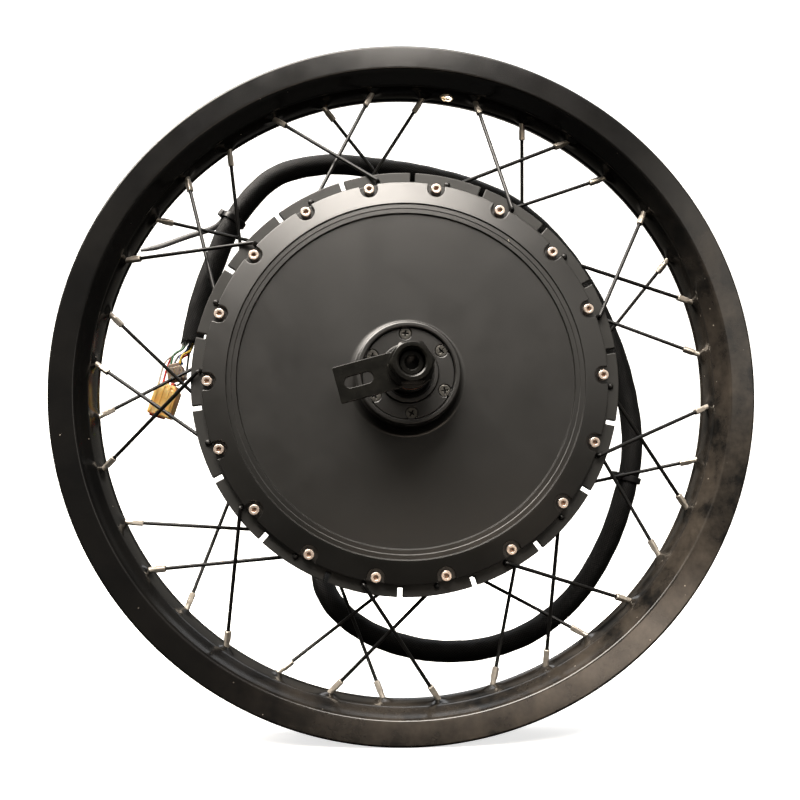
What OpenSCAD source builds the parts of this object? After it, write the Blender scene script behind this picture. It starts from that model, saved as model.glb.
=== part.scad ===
// Direct-drive hub motor laced into an 18 inch motorcycle rim.
// The wheel stands upright: the axle lies along Y, the near side faces -Y and +Z is up.
// Round parts are drawn in an axle frame, whose z is the distance from the wheel's centre
// towards the near side, and on_axle() turns that frame into place.

/* [Rim] */
// Radius over the rim flanges
rim_r = 245; // [240:1:250]
// Half of the rim's overall width
rim_half = 27; // [25:0.5:30]
// Radius of the well's inner surface, where the nipples come out
bed_r = 221; // [219:0.5:223]
// Thickness of the rim's wall
rim_wall = 3.5; // [3:0.1:4]
// Half of the width of the well's floor
well_half = 12.4; // [11:0.2:13]

/* [Spokes] */
// Diameter of a spoke
spoke_d = 2.6; // [2.3:0.1:3]
// Diameter of a nipple's body
nipple_d = 3.9; // [3.6:0.1:4.4]
// Length of a nipple that shows inside the rim
nipple_len = 13.5; // [10:0.5:15]
// Radius of the circle of spoke holes in the hub flanges
spoke_hole_r = 140.5; // [140.5:0.5:141]

/* [Hub shell] */
// Radius of the spoke flanges
flange_r = 146.5; // [145:0.5:148]
// Distance from the centre to a flange's outer face
flange_out = 33; // [32:0.5:34]
// Thickness of a spoke flange
flange_t = 5; // [4:0.5:6]
// Radius of the shell between the flanges
shell_r = 137.2; // [136.8:0.1:137.6]
// Number of slots in each flange
flange_slots = 18; // [6:1:18]

/* [Covers] */
// Radius of a side cover
cover_r = 138; // [137:0.5:138.5]
// Distance from the centre to the inner edge of a cover's sloping rim band
cover_out = 41; // [40:0.5:42]
// Radius of the circle of cover bolts
bolt_circle_r = 134.5; // [134:0.5:135]
// Radius of a cover's boss
boss_r = 34.5; // [34:0.5:36]
// Distance from the centre to the top of the boss
boss_out = 64; // [62:0.5:66]

/* [Axle] */
// Radius of the axle's threaded ends
thread_r = 8; // [7:0.5:8]
// Radius of the axle where the bearings sit
seat_r = 12.5; // [12.5:0.5:12.5]
// Distance from the centre to the shoulders at the threaded ends
shoulder = 86; // [84:0.5:88]
// Distance from the centre to the near end of the axle
axle_end = 106; // [104:0.5:110]
// Distance from the centre to the far end of the axle
axle_end_far = 118; // [116:0.5:122]

/* [Motor] */
// Number of teeth on the stator core
teeth = 36; // [36:1:36]
// Number of rotor magnets
magnet_count = 32; // [32:1:32]
// Radius of the stator core
core_r = 121.7; // [121:0.1:121.9]
// Length of the stator core along the axle
core_len = 40; // [38:0.5:42]

/* [Cable] */
// Diameter of the sleeved cable
cable_d = 17; // [16:0.5:18]

/* [Hidden] */

$fn = 48;
smooth = 160;

// Angles are clockwise from the top as seen from the near side.
wheel_turn = -1.2;
arm_turn = 15.5;
bolt_step = 20;
bolt_first = 10;
slot_first = 3;
rim_hole_first = -25;
spoke_side = 4;
valve_turn = 9.5;

// Hub angle of a spoke minus its rim angle, for those that lean clockwise and the others.
lean_plus = 18;
lean_minus = -22;

// Bearing, 25 x 52 x 15
brg_in = 34;
brg_w = 15;
brg_r = 26;
ball_r = 3.95;
ball_count = 9;
ball_circle = 19.25;
race_gap = 0.05;

// Fall of a cover's rim band towards its edge, and the depth of its bolt pockets
band_drop = 3.5;
pocket_depth = 5.5;

// Cap recess in the boss
cap_r = 30;
cap_in = 59;
cap_out = 61.5;
cap_screw_r = 26.2;
cap_screw_first = -3.2;
far_seal_in = 56.7;

// Brake disc seat on the far boss
disc_seat = 60;
disc_circle_r = 22;
spigot_r = 17.6;

// Sleeves between the bearings and the shoulders
spacer_r = 14;

// Stack on the threaded ends
arm_in = 89;
arm_t = 4;
arm_w = 23;
arm_reach = 47;
nut_in = arm_in + arm_t + 3;
nut_h = 16;
nut_af = 24;
flat_half = 5.5;

// Height of the phase leads' ring inside the motor
lead_z = 24.4;

// Route of the cable from the far end of the axle, round behind the wheel.
route = [
    [0, 118.2, 0], [0, 142, 0], [-1, 158, -6], [-6, 172, -22], [-15, 178, -46],
    [-27, 172, -72], [-39, 156, -94], [-50, 132, -112], [-58, 108, -124],
    [-62, 84, -136], [-60, 67, -149], [-49, 57, -165], [-28, 56, -181],
    [0, 56, -192], [32, 56, -197], [68, 56, -194], [104, 56, -180],
    [136, 56, -153], [161, 56, -114], [178, 56, -66], [182, 56, -32],
    [178, 56, 4], [168, 56, 42], [150, 56, 84], [124, 56, 122],
    [92, 56, 152], [56, 56, 169], [18, 56, 179], [-22, 56, 185],
    [-64, 56, 187], [-104, 56, 175], [-134, 56, 140], [-149, 56, 104],
    [-159, 56, 72], [-165, 56, 40]
];
tied_points = [19, 31];
leads_route = [
    [-165.1, 56, 39.6], [-166.3, 55.5, 33.5], [-170, 52, 29], [-173, 50, 27.2], [-173, 50, 24.1]
];

// ---- helpers ----

module on_axle() rotate([90, 0, 0]) children();

// Turns children clockwise, as seen from the near side, in the axle frame.
module clockwise(angle) rotate([0, 0, -angle]) children();

// The far side's parts are the near side's, mirrored through the wheel's middle plane.
module far_side() mirror([0, 0, 1]) children();

module on_wheel() on_axle() clockwise(wheel_turn) children();

module ring(r_out, r_in, from, to) {
    translate([0, 0, from]) difference() {
        cylinder(r = r_out, h = to - from, $fn = smooth);
        translate([0, 0, -1]) cylinder(r = r_in, h = to - from + 2, $fn = smooth);
    }
}

// A point in the axle frame: radius, clockwise angle from the top, height.
function polar(r, angle, z) = [r * sin(angle), r * cos(angle), z];

function unit(v) = v / norm(v);

// Stands children at a point with their z along a direction.
module aimed(at, direction) {
    d = unit(direction);
    translate(at) rotate([0, acos(d[2]), atan2(d[1], d[0])]) children();
}

// ---- rim ----

// One side's outline runs from the well's floor to the flange, inner surface first.
function rim_side(s) = [
    [bed_r, s * well_half], [bed_r + 1.4, s * (well_half + 3)],
    [bed_r + 3.4, s * (well_half + 7.2)], [bed_r + 5.6, s * (rim_half - 1.4)],
    [bed_r + 6.4, s * rim_half], [rim_r - 1.5, s * rim_half],
    [rim_r, s * (rim_half - 1.5)], [rim_r - 1, s * (rim_half - rim_wall)],
    [rim_r - 14, s * (rim_half - rim_wall)], [rim_r - 14.8, s * (rim_half - rim_wall - 5)],
    [bed_r + rim_wall + 1, s * (well_half + 1)], [bed_r + rim_wall, s * (well_half - 2)]
];

function reversed(list) = [for (i = [len(list) - 1 : -1 : 0]) list[i]];

function rim_angle(k) = rim_hole_first + 10 * k;
function on_near(k) = k % 2 == 0;
function turns_with(k) = k % 4 < 2;
function hub_angle(k) = rim_angle(k) + (turns_with(k) ? lean_plus : lean_minus);
function runs_outside(k) = turns_with(k);
function side_sign(k) = on_near(k) ? 1 : -1;
function flange_mid() = flange_out - flange_t / 2;
// An outside spoke starts further out, so that it clears the flange's edge on its way in.
function face_gap(k) = runs_outside(k) ? 2.7 : 0.2;
function run_height(k) = side_sign(k) * (flange_mid()
    + (runs_outside(k) ? 1 : -1) * (flange_t / 2 + spoke_d / 2 + face_gap(k)));
function hub_point(k) = polar(spoke_hole_r, hub_angle(k), run_height(k));
function rim_point(k) = polar(bed_r, rim_angle(k), side_sign(k) * spoke_side);
function spoke_way(k) = unit(rim_point(k) - hub_point(k));

module rim_holes() {
    for (k = [0 : 35])
        aimed(rim_point(k), spoke_way(k))
            translate([0, 0, -8]) cylinder(d = nipple_d + 0.7, h = 16, $fn = 24);
    aimed(polar(bed_r - 4, valve_turn, 0), polar(1, valve_turn, 0))
        cylinder(r = 4.2, h = 14, $fn = 32);
}

module rim() color([0.07, 0.07, 0.07]) on_wheel() difference() {
    rotate_extrude($fn = smooth) polygon(concat(rim_side(1), reversed(rim_side(-1))));
    rim_holes();
}

// ---- spokes and nipples ----

// Every spoke is drawn at the top of the wheel, then turned to its hub angle.
module spoke(k) clockwise(hub_angle(k)) {
    inner = side_sign(k) * (flange_mid() - flange_t / 2 - spoke_d / 2 - 0.2);
    outer = side_sign(k) * (flange_mid() + flange_t / 2 + spoke_d / 2 + 0.2);
    hub = [0, spoke_hole_r, run_height(k)];
    head = [0, spoke_hole_r, runs_outside(k) ? inner : outer];
    way = polar(bed_r, rim_angle(k) - hub_angle(k), side_sign(k) * spoke_side) - hub;
    aimed(hub, way) cylinder(d = spoke_d, h = norm(way) + 2, $fn = 20);
    translate(hub) sphere(d = spoke_d + 0.2, $fn = 24);
    aimed(hub, head - hub) rotate([0, 0, 90]) cylinder(d = spoke_d, h = norm(head - hub), $fn = 20);
    aimed(head, head - hub) translate([0, 0, -0.9]) cylinder(d = 4.2, h = 1.6, $fn = 24);
}

module spokes(near, outside) color([0.09, 0.09, 0.09]) on_wheel()
    for (k = [0 : 35])
        if (on_near(k) == near && runs_outside(k) == outside) spoke(k);

module nipple(k) {
    seat = 6.6;
    aimed(rim_point(k), spoke_way(k)) difference() {
        union() {
            translate([0, 0, -nipple_len]) cylinder(d = nipple_d, h = nipple_len + seat, $fn = 24);
            translate([0, 0, seat]) cylinder(d = 6.4, h = 2.2, $fn = 24);
        }
        translate([0, 0, -nipple_len - 1])
            cylinder(d = spoke_d + 0.1, h = nipple_len + seat + 4, $fn = 20);
    }
}

module nipples(near) color([0.72, 0.71, 0.69]) on_wheel()
    for (k = [0 : 35]) if (on_near(k) == near) nipple(k);

// ---- hub shell and covers ----

// Both flanges have a slot between every two spoke holes.
module flange_slot_set() {
    for (i = [0 : flange_slots - 1])
        for (s = [-1, 1])
            clockwise(slot_first + (s > 0 ? 0 : bolt_step / 2) + i * 360 / flange_slots)
                translate([-1.7, flange_r - 6.5, s * flange_mid() - flange_t / 2 - 1])
                    cube([3.4, 8, flange_t + 2]);
}

module rotor_shell() color([0.12, 0.12, 0.115]) on_wheel() difference() {
    rotate_extrude($fn = smooth) polygon([
        [127.2, -flange_out], [flange_r, -flange_out], [flange_r, -flange_out + flange_t],
        [shell_r, -flange_out + flange_t], [shell_r, flange_out - flange_t],
        [flange_r, flange_out - flange_t], [flange_r, flange_out], [127.2, flange_out]
    ]);
    flange_slot_set();
    for (k = [0 : 35]) if (on_near(k))
        clockwise(hub_angle(k)) translate([0, spoke_hole_r, flange_out - flange_t - 1])
            cylinder(d = spoke_d + 0.4, h = flange_t + 2, $fn = 20);
    for (k = [0 : 35]) if (!on_near(k))
        clockwise(hub_angle(k)) translate([0, spoke_hole_r, -flange_out - 1])
            cylinder(d = spoke_d + 0.4, h = flange_t + 2, $fn = 20);
    for (i = [0 : 17]) clockwise(bolt_first + bolt_step * i)
        for (s = [-1, 1]) translate([0, bolt_circle_r, s * (flange_out - 5.5)])
            cylinder(r = 2.05, h = 13, center = true, $fn = 20);
}

module magnet_yoke() color([0.3, 0.3, 0.31]) on_wheel() ring(127.1, 125.6, -26, 26);

module magnets() color([0.62, 0.63, 0.65]) on_wheel()
    for (i = [0 : magnet_count - 1])
        rotate([0, 0, i * 360 / magnet_count])
            rotate_extrude(angle = 9.6, $fn = smooth)
                translate([122.4, -core_len / 2 - 1]) square([3.1, core_len + 2]);

// A cover's section, as radius and height, from its rim band in to the boss.
function cover_plate() = [
    [brg_r + 0.02, 31.5], [118, 31.5], [118, 30], [126.9, 30], [126.9, flange_out + 0.05],
    [cover_r, flange_out + 0.05], [cover_r, cover_out - band_drop - 0.8],
    [cover_r - 0.6, cover_out - band_drop], [122, cover_out], [121.3, cover_out - 0.9],
    [118.2, cover_out - 0.75], [117.8, cover_out - 1.05], [114.9, cover_out - 0.9],
    [114.4, cover_out - 2.2],
    [boss_r + 5, cover_out - 2.2], [boss_r + 1.5, cover_out - 0.8], [boss_r, cover_out + 3]
];
brg_top = brg_in + brg_w + 0.05;
near_boss = [
    [boss_r, boss_out - 1.2], [boss_r - 1.2, boss_out], [cap_r + 0.9, boss_out],
    [cap_r + 0.4, boss_out - 0.5], [cap_r + 0.4, cap_in - 0.05], [22, cap_in - 0.05],
    [22, brg_top], [brg_r + 0.02, brg_top]
];
far_boss = [
    [boss_r, disc_seat - 1.2], [boss_r - 1.2, disc_seat], [spigot_r, disc_seat],
    [spigot_r, disc_seat + 2], [spigot_r - 1, disc_seat + 2], [16.6, brg_top],
    [brg_r + 0.02, brg_top]
];

module bolt_pockets() {
    for (i = [0 : 17]) clockwise(bolt_first + bolt_step * i) {
        translate([0, bolt_circle_r, cover_out - pocket_depth]) cylinder(r = 6, h = 8, $fn = 40);
        translate([-6, bolt_circle_r, cover_out - pocket_depth]) cube([12, 10, 8]);
        translate([0, bolt_circle_r, 25]) cylinder(r = 2.2, h = 20, $fn = 24);
    }
}

module cover_near() color([0.2, 0.195, 0.185]) on_wheel() difference() {
    rotate_extrude($fn = smooth) polygon(concat(cover_plate(), near_boss));
    bolt_pockets();
    for (i = [0 : 5]) clockwise(cap_screw_first + 60 * i)
        translate([0, cap_screw_r, cap_in - 5]) cylinder(r = 2.05, h = 8, $fn = 24);
}

// The far cover's boss carries the brake disc's seat and its six bolt holes.
module cover_far() color([0.2, 0.195, 0.185]) on_wheel() far_side() difference() {
    rotate_extrude($fn = smooth) polygon(concat(cover_plate(), far_boss));
    bolt_pockets();
    for (i = [0 : 5]) clockwise(25 + 60 * i)
        translate([0, disc_circle_r, disc_seat - 9]) cylinder(r = 2.1, h = 12, $fn = 24);
}

// Socket head bolt, M4, with its head on the pocket's floor.
module cover_bolt() {
    seat = cover_out - pocket_depth + 0.05;
    difference() {
        translate([0, 0, seat]) cylinder(r = 3.5, h = 4, $fn = 32);
        translate([0, 0, seat + 1.8]) cylinder(r = 1.73, h = 3, $fn = 6);
    }
    translate([0, 0, seat - 12]) cylinder(r = 1.95, h = 12.2, $fn = 24);
}

module cover_bolts() for (i = [0 : 17])
    clockwise(bolt_first + bolt_step * i) translate([0, bolt_circle_r, 0]) cover_bolt();

module cover_bolts_near() color([0.75, 0.72, 0.69]) on_wheel() cover_bolts();
module cover_bolts_far() color([0.75, 0.72, 0.69]) on_wheel() far_side() cover_bolts();

// ---- caps, screws and seals ----

module cap_near() color([0.2, 0.195, 0.185]) on_wheel() difference() {
    rotate_extrude($fn = smooth) polygon([
        [16.6, cap_in], [cap_r, cap_in], [cap_r, cap_out - 0.5], [cap_r - 0.5, cap_out],
        [20, cap_out], [19.4, cap_out + 2], [16.6, cap_out + 2]
    ]);
    for (i = [0 : 5]) clockwise(cap_screw_first + 60 * i) translate([0, cap_screw_r, 0]) {
        translate([0, 0, cap_in - 1]) cylinder(r = 2.2, h = 6, $fn = 24);
        translate([0, 0, cap_out - 2.15]) cylinder(r1 = 2.1, r2 = 4.25, h = 2.2, $fn = 32);
    }
}

module cap_screw() difference() {
    union() {
        translate([0, 0, cap_in - 4.5]) cylinder(r = 1.95, h = 6.5, $fn = 24);
        translate([0, 0, cap_out - 2.05]) cylinder(r1 = 1.95, r2 = 4, h = 2.05, $fn = 32);
    }
    for (a = [20, 110]) rotate([0, 0, a]) translate([-2, -0.4, cap_out - 1.4]) cube([4, 0.8, 2]);
}

module cap_screws() color([0.5, 0.49, 0.46]) on_wheel() for (i = [0 : 5])
    clockwise(cap_screw_first + 60 * i) translate([0, cap_screw_r, 0]) cap_screw();

// A seal ring that starts at a height.
module seal(low) rotate_extrude($fn = smooth) polygon([
    [spacer_r + 1.2, low], [16.5, low], [16.5, low + 3.9], [15.6, low + 3.9],
    [spacer_r + 0.1, low + 2.5]
]);

module seal_near() color([0.06, 0.06, 0.06]) on_wheel() seal(cap_in + 0.2);
module seal_far() color([0.06, 0.06, 0.06]) on_wheel() far_side() seal(far_seal_in);

// ---- bearings ----

module race_groove() translate([ball_circle, brg_in + brg_w / 2]) circle(r = ball_r + race_gap);

module bearing_outer() rotate_extrude($fn = smooth) difference() {
    translate([21.9, brg_in]) square([brg_r - 21.9, brg_w]);
    race_groove();
}

module bearing_inner() rotate_extrude($fn = smooth) difference() {
    translate([seat_r, brg_in]) square([16.6 - seat_r, brg_w]);
    race_groove();
}

module balls() for (i = [0 : ball_count - 1]) rotate([0, 0, i * 360 / ball_count])
    translate([ball_circle, 0, brg_in + brg_w / 2]) sphere(r = ball_r, $fn = 32);

module cage() difference() {
    ring(20.2, 18.3, brg_in + 2.3, brg_in + brg_w - 2.3);
    for (i = [0 : ball_count - 1]) rotate([0, 0, i * 360 / ball_count])
        translate([ball_circle - 3, 0, brg_in + brg_w / 2]) rotate([0, 90, 0])
            cylinder(r = ball_r + 0.12, h = 6, $fn = 32);
}

module bearing_outer_near() color([0.7, 0.7, 0.72]) on_wheel() bearing_outer();
module bearing_outer_far() color([0.7, 0.7, 0.72]) on_wheel() far_side() bearing_outer();
module bearing_inner_near() color([0.7, 0.7, 0.72]) on_axle() bearing_inner();
module bearing_inner_far() color([0.7, 0.7, 0.72]) on_axle() far_side() bearing_inner();
module balls_near() color([0.8, 0.8, 0.82]) on_axle() balls();
module balls_far() color([0.8, 0.8, 0.82]) on_axle() far_side() balls();
module cage_near() color([0.66, 0.5, 0.2]) on_axle() cage();
module cage_far() color([0.66, 0.5, 0.2]) on_axle() far_side() cage();

// ---- axle ----

// Flats for the torque arm and the frame's dropouts.
module end_flats() for (s = [-1, 1]) rotate([0, 0, arm_turn])
    translate([-20, s * (flat_half + 10) - 10, shoulder + 0.4]) cube([40, 20, 7.6]);

module axle() color([0.1, 0.1, 0.1]) on_axle() difference() {
    union() {
        cylinder(r = 15, h = 2 * brg_in - 1, center = true, $fn = smooth);
        cylinder(r = seat_r - 0.02, h = 2 * shoulder, center = true, $fn = smooth);
        cylinder(r = thread_r, h = axle_end, $fn = 64);
        far_side() cylinder(r = thread_r, h = axle_end_far, $fn = 64);
    }
    end_flats();
    far_side() end_flats();
    translate([0, 0, axle_end - 30]) cylinder(r = 4.1, h = 31, $fn = 32);
    translate([0, 0, -axle_end_far - 1]) cylinder(r = 5, h = axle_end_far - 16, $fn = 40);
    translate([0, 0, -24]) rotate([90, 0, 0]) cylinder(r = 4.5, h = 30, $fn = 32);
    translate([-4.05, 11, -16]) cube([8.1, 10, 32]);
}

module carrier_key() color([0.45, 0.45, 0.47]) on_axle()
    translate([-4, 11.05, -15]) cube([8, 7.9, 30]);

module spacer() ring(spacer_r, seat_r, brg_in + brg_w + 0.1, shoulder);
module spacer_near() color([0.08, 0.08, 0.08]) on_axle() spacer();
module spacer_far() color([0.08, 0.08, 0.08]) on_axle() far_side() spacer();

// ---- stack on the threaded ends ----

module copper_washer() color([0.75, 0.42, 0.25]) on_axle()
    ring(14, thread_r + 0.3, shoulder + 0.05, arm_in - 0.05);

module torque_arm() color([0.07, 0.07, 0.07]) on_axle() rotate([0, 0, arm_turn])
    translate([0, 0, arm_in]) difference() {
        translate([-arm_reach, -arm_w / 2, 0]) cube([arm_reach + 11, arm_w, arm_t]);
        intersection() {
            translate([0, 0, -1]) cylinder(r = thread_r + 0.2, h = arm_t + 2, $fn = 48);
            translate([-10, -flat_half - 0.15, -1]) cube([20, 2 * flat_half + 0.3, arm_t + 2]);
        }
        for (x = [-38.5, -27.5]) translate([x, 0, -1]) cylinder(r = 3.6, h = arm_t + 2, $fn = 32);
        translate([-38.5, -3.6, -1]) cube([11, 7.2, arm_t + 2]);
    }

module washer() ring(14.5, thread_r + 0.3, nut_in - 3 + 0.05, nut_in - 0.05);

module axle_nut() difference() {
    intersection() {
        translate([0, 0, nut_in]) cylinder(r = nut_af / sqrt(3), h = nut_h, $fn = 6);
        rotate_extrude($fn = 96) polygon([
            [0, nut_in], [nut_af / 2, nut_in], [nut_af / 2 + 2, nut_in + 1.2],
            [nut_af / 2 + 2, nut_in + nut_h - 1.8], [nut_af / 2 - 0.6, nut_in + nut_h],
            [0, nut_in + nut_h]
        ]);
    }
    translate([0, 0, nut_in - 1]) cylinder(r = thread_r + 0.1, h = nut_h + 2, $fn = 64);
    translate([0, 0, nut_in + nut_h - 1]) cylinder(r1 = thread_r, r2 = thread_r + 1.2, h = 1.1);
}

module washer_near() color([0.1, 0.1, 0.1]) on_axle() washer();
module washer_far() color([0.1, 0.1, 0.1]) on_axle() far_side() washer();
module axle_nut_near() color([0.07, 0.07, 0.07]) on_axle() rotate([0, 0, -3]) axle_nut();
module axle_nut_far() color([0.07, 0.07, 0.07]) on_axle() far_side() axle_nut();

// ---- stator ----

module slot_shapes() for (i = [0 : teeth - 1]) rotate([0, 0, (i + 0.5) * 360 / teeth]) {
    polygon([[101, -4.7], [117, -6.1], [119.5, -2], [119.5, 2], [117, 6.1], [101, 4.7]]);
    translate([118, -1.3]) square([6, 2.6]);
}

module stator_core() color([0.42, 0.43, 0.45]) on_axle()
    translate([0, 0, -core_len / 2]) linear_extrude(core_len) difference() {
        circle(r = core_r, $fn = smooth);
        circle(r = 92, $fn = smooth);
        slot_shapes();
    }

module end_insulators() color([0.85, 0.83, 0.75]) on_axle()
    for (z = [-core_len / 2 - 1.05, core_len / 2 + 0.05]) translate([0, 0, z])
        linear_extrude(1) difference() {
            circle(r = core_r - 1, $fn = smooth);
            circle(r = 95, $fn = smooth);
            slot_shapes();
        }

module windings() color([0.72, 0.4, 0.2]) on_axle()
    for (i = [0 : teeth - 1]) rotate([0, 0, i * 360 / teeth]) translate([101.6, 0, 0])
        difference() {
            translate([0, -8.3, -27.5]) cube([15, 16.6, 55]);
            translate([-1, -4.6, -21.3]) cube([17, 9.2, 42.6]);
        }

module stator_carrier() color([0.6, 0.6, 0.61]) on_axle() difference() {
    translate([0, 0, -15]) linear_extrude(30) {
        difference() {
            circle(r = 91.98, $fn = smooth);
            circle(r = 82, $fn = smooth);
        }
        difference() {
            circle(r = 30, $fn = smooth);
            circle(r = 15.02, $fn = smooth);
        }
        for (i = [0 : 5]) rotate([0, 0, 30 + 60 * i]) translate([28, -5]) square([56, 10]);
    }
    translate([-4.05, 11, -16]) cube([8.1, 8.05, 32]);
}

module hall_board() color([0.1, 0.35, 0.2]) on_axle() far_side()
    translate([0, 0, 15.1]) rotate([0, 0, 235]) rotate_extrude(angle = 70, $fn = smooth)
        translate([84, 0]) square([7.5, 1.6]);

module hall_sensors() color([0.05, 0.05, 0.05]) on_axle() far_side()
    for (a = [245, 270, 295]) rotate([0, 0, a]) translate([86, -2, 16.75]) cube([3, 4, 1.5]);

module lead_bundle() color([0.15, 0.15, 0.16]) on_axle() far_side() {
    translate([0, 0, lead_z]) rotate_extrude($fn = smooth) translate([94, 0]) circle(r = 3.2, $fn = 24);
    translate([0, -6, lead_z]) rotate([90, 0, 0]) cylinder(r = 3.2, h = 86, $fn = 24);
}

// ---- cable ----

function spline(p, i, t) = let (
    a = p[max(i - 1, 0)], b = p[i], c = p[i + 1], d = p[min(i + 2, len(p) - 1)]
) 0.5 * (2 * b + (c - a) * t + (2 * a - 5 * b + 4 * c - d) * t * t
    + (3 * b - a - 3 * c + d) * t * t * t);

function finer(p, n) = [
    for (i = [0 : len(p) - 2]) for (j = [0 : n - 1]) spline(p, i, j / n),
    p[len(p) - 1]
];

function tangents(p) = [
    for (i = [0 : len(p) - 1]) unit(p[min(i + 1, len(p) - 1)] - p[max(i - 1, 0)])
];

function sides_along(t, i = 0, last = [1, 0, 0], got = []) = i == len(t) ? got
    : let (s = unit(last - (last * t[i]) * t[i])) sides_along(t, i + 1, s, concat(got, [s]));

module tube(p, r, n) {
    t = tangents(p);
    s = sides_along(t);
    m = len(p);
    points = [
        for (i = [0 : m - 1]) for (j = [0 : n - 1])
            p[i] + r * (cos(360 * j / n) * s[i] + sin(360 * j / n) * cross(t[i], s[i]))
    ];
    walls = [
        for (i = [0 : m - 2]) for (j = [0 : n - 1])
            [i * n + j, i * n + (j + 1) % n, (i + 1) * n + (j + 1) % n, (i + 1) * n + j]
    ];
    ends = [[for (j = [n - 1 : -1 : 0]) j], [for (j = [0 : n - 1]) (m - 1) * n + j]];
    polyhedron(points = points, faces = concat([for (w = walls) reversed(w)],
        [for (e = ends) reversed(e)]), convexity = 12);
}

module cable_sleeve() color([0.08, 0.08, 0.085]) tube(finer(route, 2), cable_d / 2, 10);

module cable_leads() color([0.35, 0.33, 0.3]) tube(finer(leads_route, 2), 4, 8);

module strain_relief() color([0.06, 0.06, 0.06]) on_axle() far_side()
    translate([0, 0, axle_end_far]) rotate_extrude($fn = 48) polygon([
        [cable_d / 2 + 0.3, 0.1], [11.5, 0.1], [11.5, 6], [9.9, 22], [cable_d / 2 + 0.3, 22]
    ]);

// A tie is a ring round the cable with its square head on one side.
module cable_tie(at, way, turn) aimed(at, way) rotate([0, 0, turn]) {
    difference() {
        cylinder(r = cable_d / 2 + 1.6, h = 4.6, center = true, $fn = 40);
        cylinder(r = cable_d / 2 + 0.25, h = 6, center = true, $fn = 40);
    }
    translate([cable_d / 2 + 1.4, -3.5, -3]) cube([5.5, 7, 6]);
}

module cable_ties() color([0.05, 0.05, 0.05]) {
    for (i = tied_points) cable_tie(route[i], route[i + 1] - route[i - 1], 200);
}

module connector_amber() color([0.8, 0.55, 0.2])
    translate([-195, 41, -21]) cube([24, 17, 28]);

module connector_brown() color([0.4, 0.32, 0.25])
    translate([-182, 43, 7.3]) cube([15, 13, 16]);

axle();
carrier_key();
stator_carrier();
stator_core();
end_insulators();
windings();
hall_board();
hall_sensors();
lead_bundle();
bearing_inner_near();
bearing_inner_far();
spacer_near();
spacer_far();
copper_washer();
torque_arm();
washer_near();
axle_nut_near();
washer_far();
axle_nut_far();
strain_relief();
cable_sleeve();
cable_leads();
cable_ties();
connector_amber();
connector_brown();
balls_near();
cage_near();
balls_far();
cage_far();
rotor_shell();
magnet_yoke();
magnets();
cover_near();
cover_far();
cover_bolts_near();
cover_bolts_far();
bearing_outer_near();
bearing_outer_far();
cap_near();
cap_screws();
seal_near();
seal_far();
spokes(true, true);  // spokes_near_outer
spokes(true, false);  // spokes_near_inner
spokes(false, true);  // spokes_far_outer
spokes(false, false);  // spokes_far_inner
nipples(true);  // nipples_near
nipples(false);  // nipples_far
rim();
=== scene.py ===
import math

import bmesh
import bpy
import numpy as np
from mathutils import Matrix, Vector
from mathutils.geometry import delaunay_2d_cdt


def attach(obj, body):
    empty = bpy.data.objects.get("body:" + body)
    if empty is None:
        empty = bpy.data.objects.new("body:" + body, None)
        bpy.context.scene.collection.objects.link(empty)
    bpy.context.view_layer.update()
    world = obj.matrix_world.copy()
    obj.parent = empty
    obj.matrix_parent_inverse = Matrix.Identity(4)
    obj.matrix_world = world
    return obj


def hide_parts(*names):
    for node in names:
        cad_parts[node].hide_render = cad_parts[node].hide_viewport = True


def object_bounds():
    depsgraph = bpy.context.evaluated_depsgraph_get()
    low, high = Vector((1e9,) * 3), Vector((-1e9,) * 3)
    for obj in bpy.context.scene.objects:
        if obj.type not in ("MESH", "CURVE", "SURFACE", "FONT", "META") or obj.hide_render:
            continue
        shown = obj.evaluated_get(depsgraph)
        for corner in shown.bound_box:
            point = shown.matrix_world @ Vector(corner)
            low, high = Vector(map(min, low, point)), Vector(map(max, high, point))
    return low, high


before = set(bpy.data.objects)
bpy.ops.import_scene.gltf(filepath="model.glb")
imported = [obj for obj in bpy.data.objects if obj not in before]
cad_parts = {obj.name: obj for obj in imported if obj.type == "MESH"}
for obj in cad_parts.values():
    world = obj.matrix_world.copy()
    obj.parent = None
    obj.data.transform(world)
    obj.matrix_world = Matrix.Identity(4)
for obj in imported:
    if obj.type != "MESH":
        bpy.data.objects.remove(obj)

scene = bpy.context.scene
cad_box = [list(corner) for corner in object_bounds()]
MM = 0.001


# ---------------------------------------------------------------- camera
camera = bpy.data.objects.new("camera", bpy.data.cameras.new("camera"))
scene.collection.objects.link(camera)
camera.location = (-0.025226, -0.6117, -0.0804)
camera.rotation_mode = "QUATERNION"
camera.rotation_quaternion = Vector((0.03561, 0.99293, 0.11322)).to_track_quat("-Z", "Y")
camera.data.sensor_width = 36.0
camera.data.lens = 38.47
camera.data.clip_start = 0.02
camera.data.clip_end = 60.0
scene.camera = camera


# ---------------------------------------------------------------- sizes, in mm
WHEEL_TURN = -1.2
BOLT_FIRST, BOLT_STEP, BOLT_R = 10, 20, 134.5
COVER_R, COVER_OUT, BAND_DROP, POCKET = 138.0, 41.0, 3.5, 5.5
FLANGE_R, FLANGE_OUT, FLANGE_T = 146.5, 33.0, 5.0
SPOKE_D, SPOKE_HOLE_R, BED_R, SPOKE_SIDE = 2.6, 140.5, 221.0, 4.0
NIPPLE_LEN = 13.5
CABLE_D = 17.0
ARM_TURN = 15.5
NEAR_NUT_TURN = -3
RIM_HOLE_FIRST, RIM_HOLE_STEP = -25, 10
VALVE_TURN, VALVE_R = 9.5, 4.2

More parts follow.
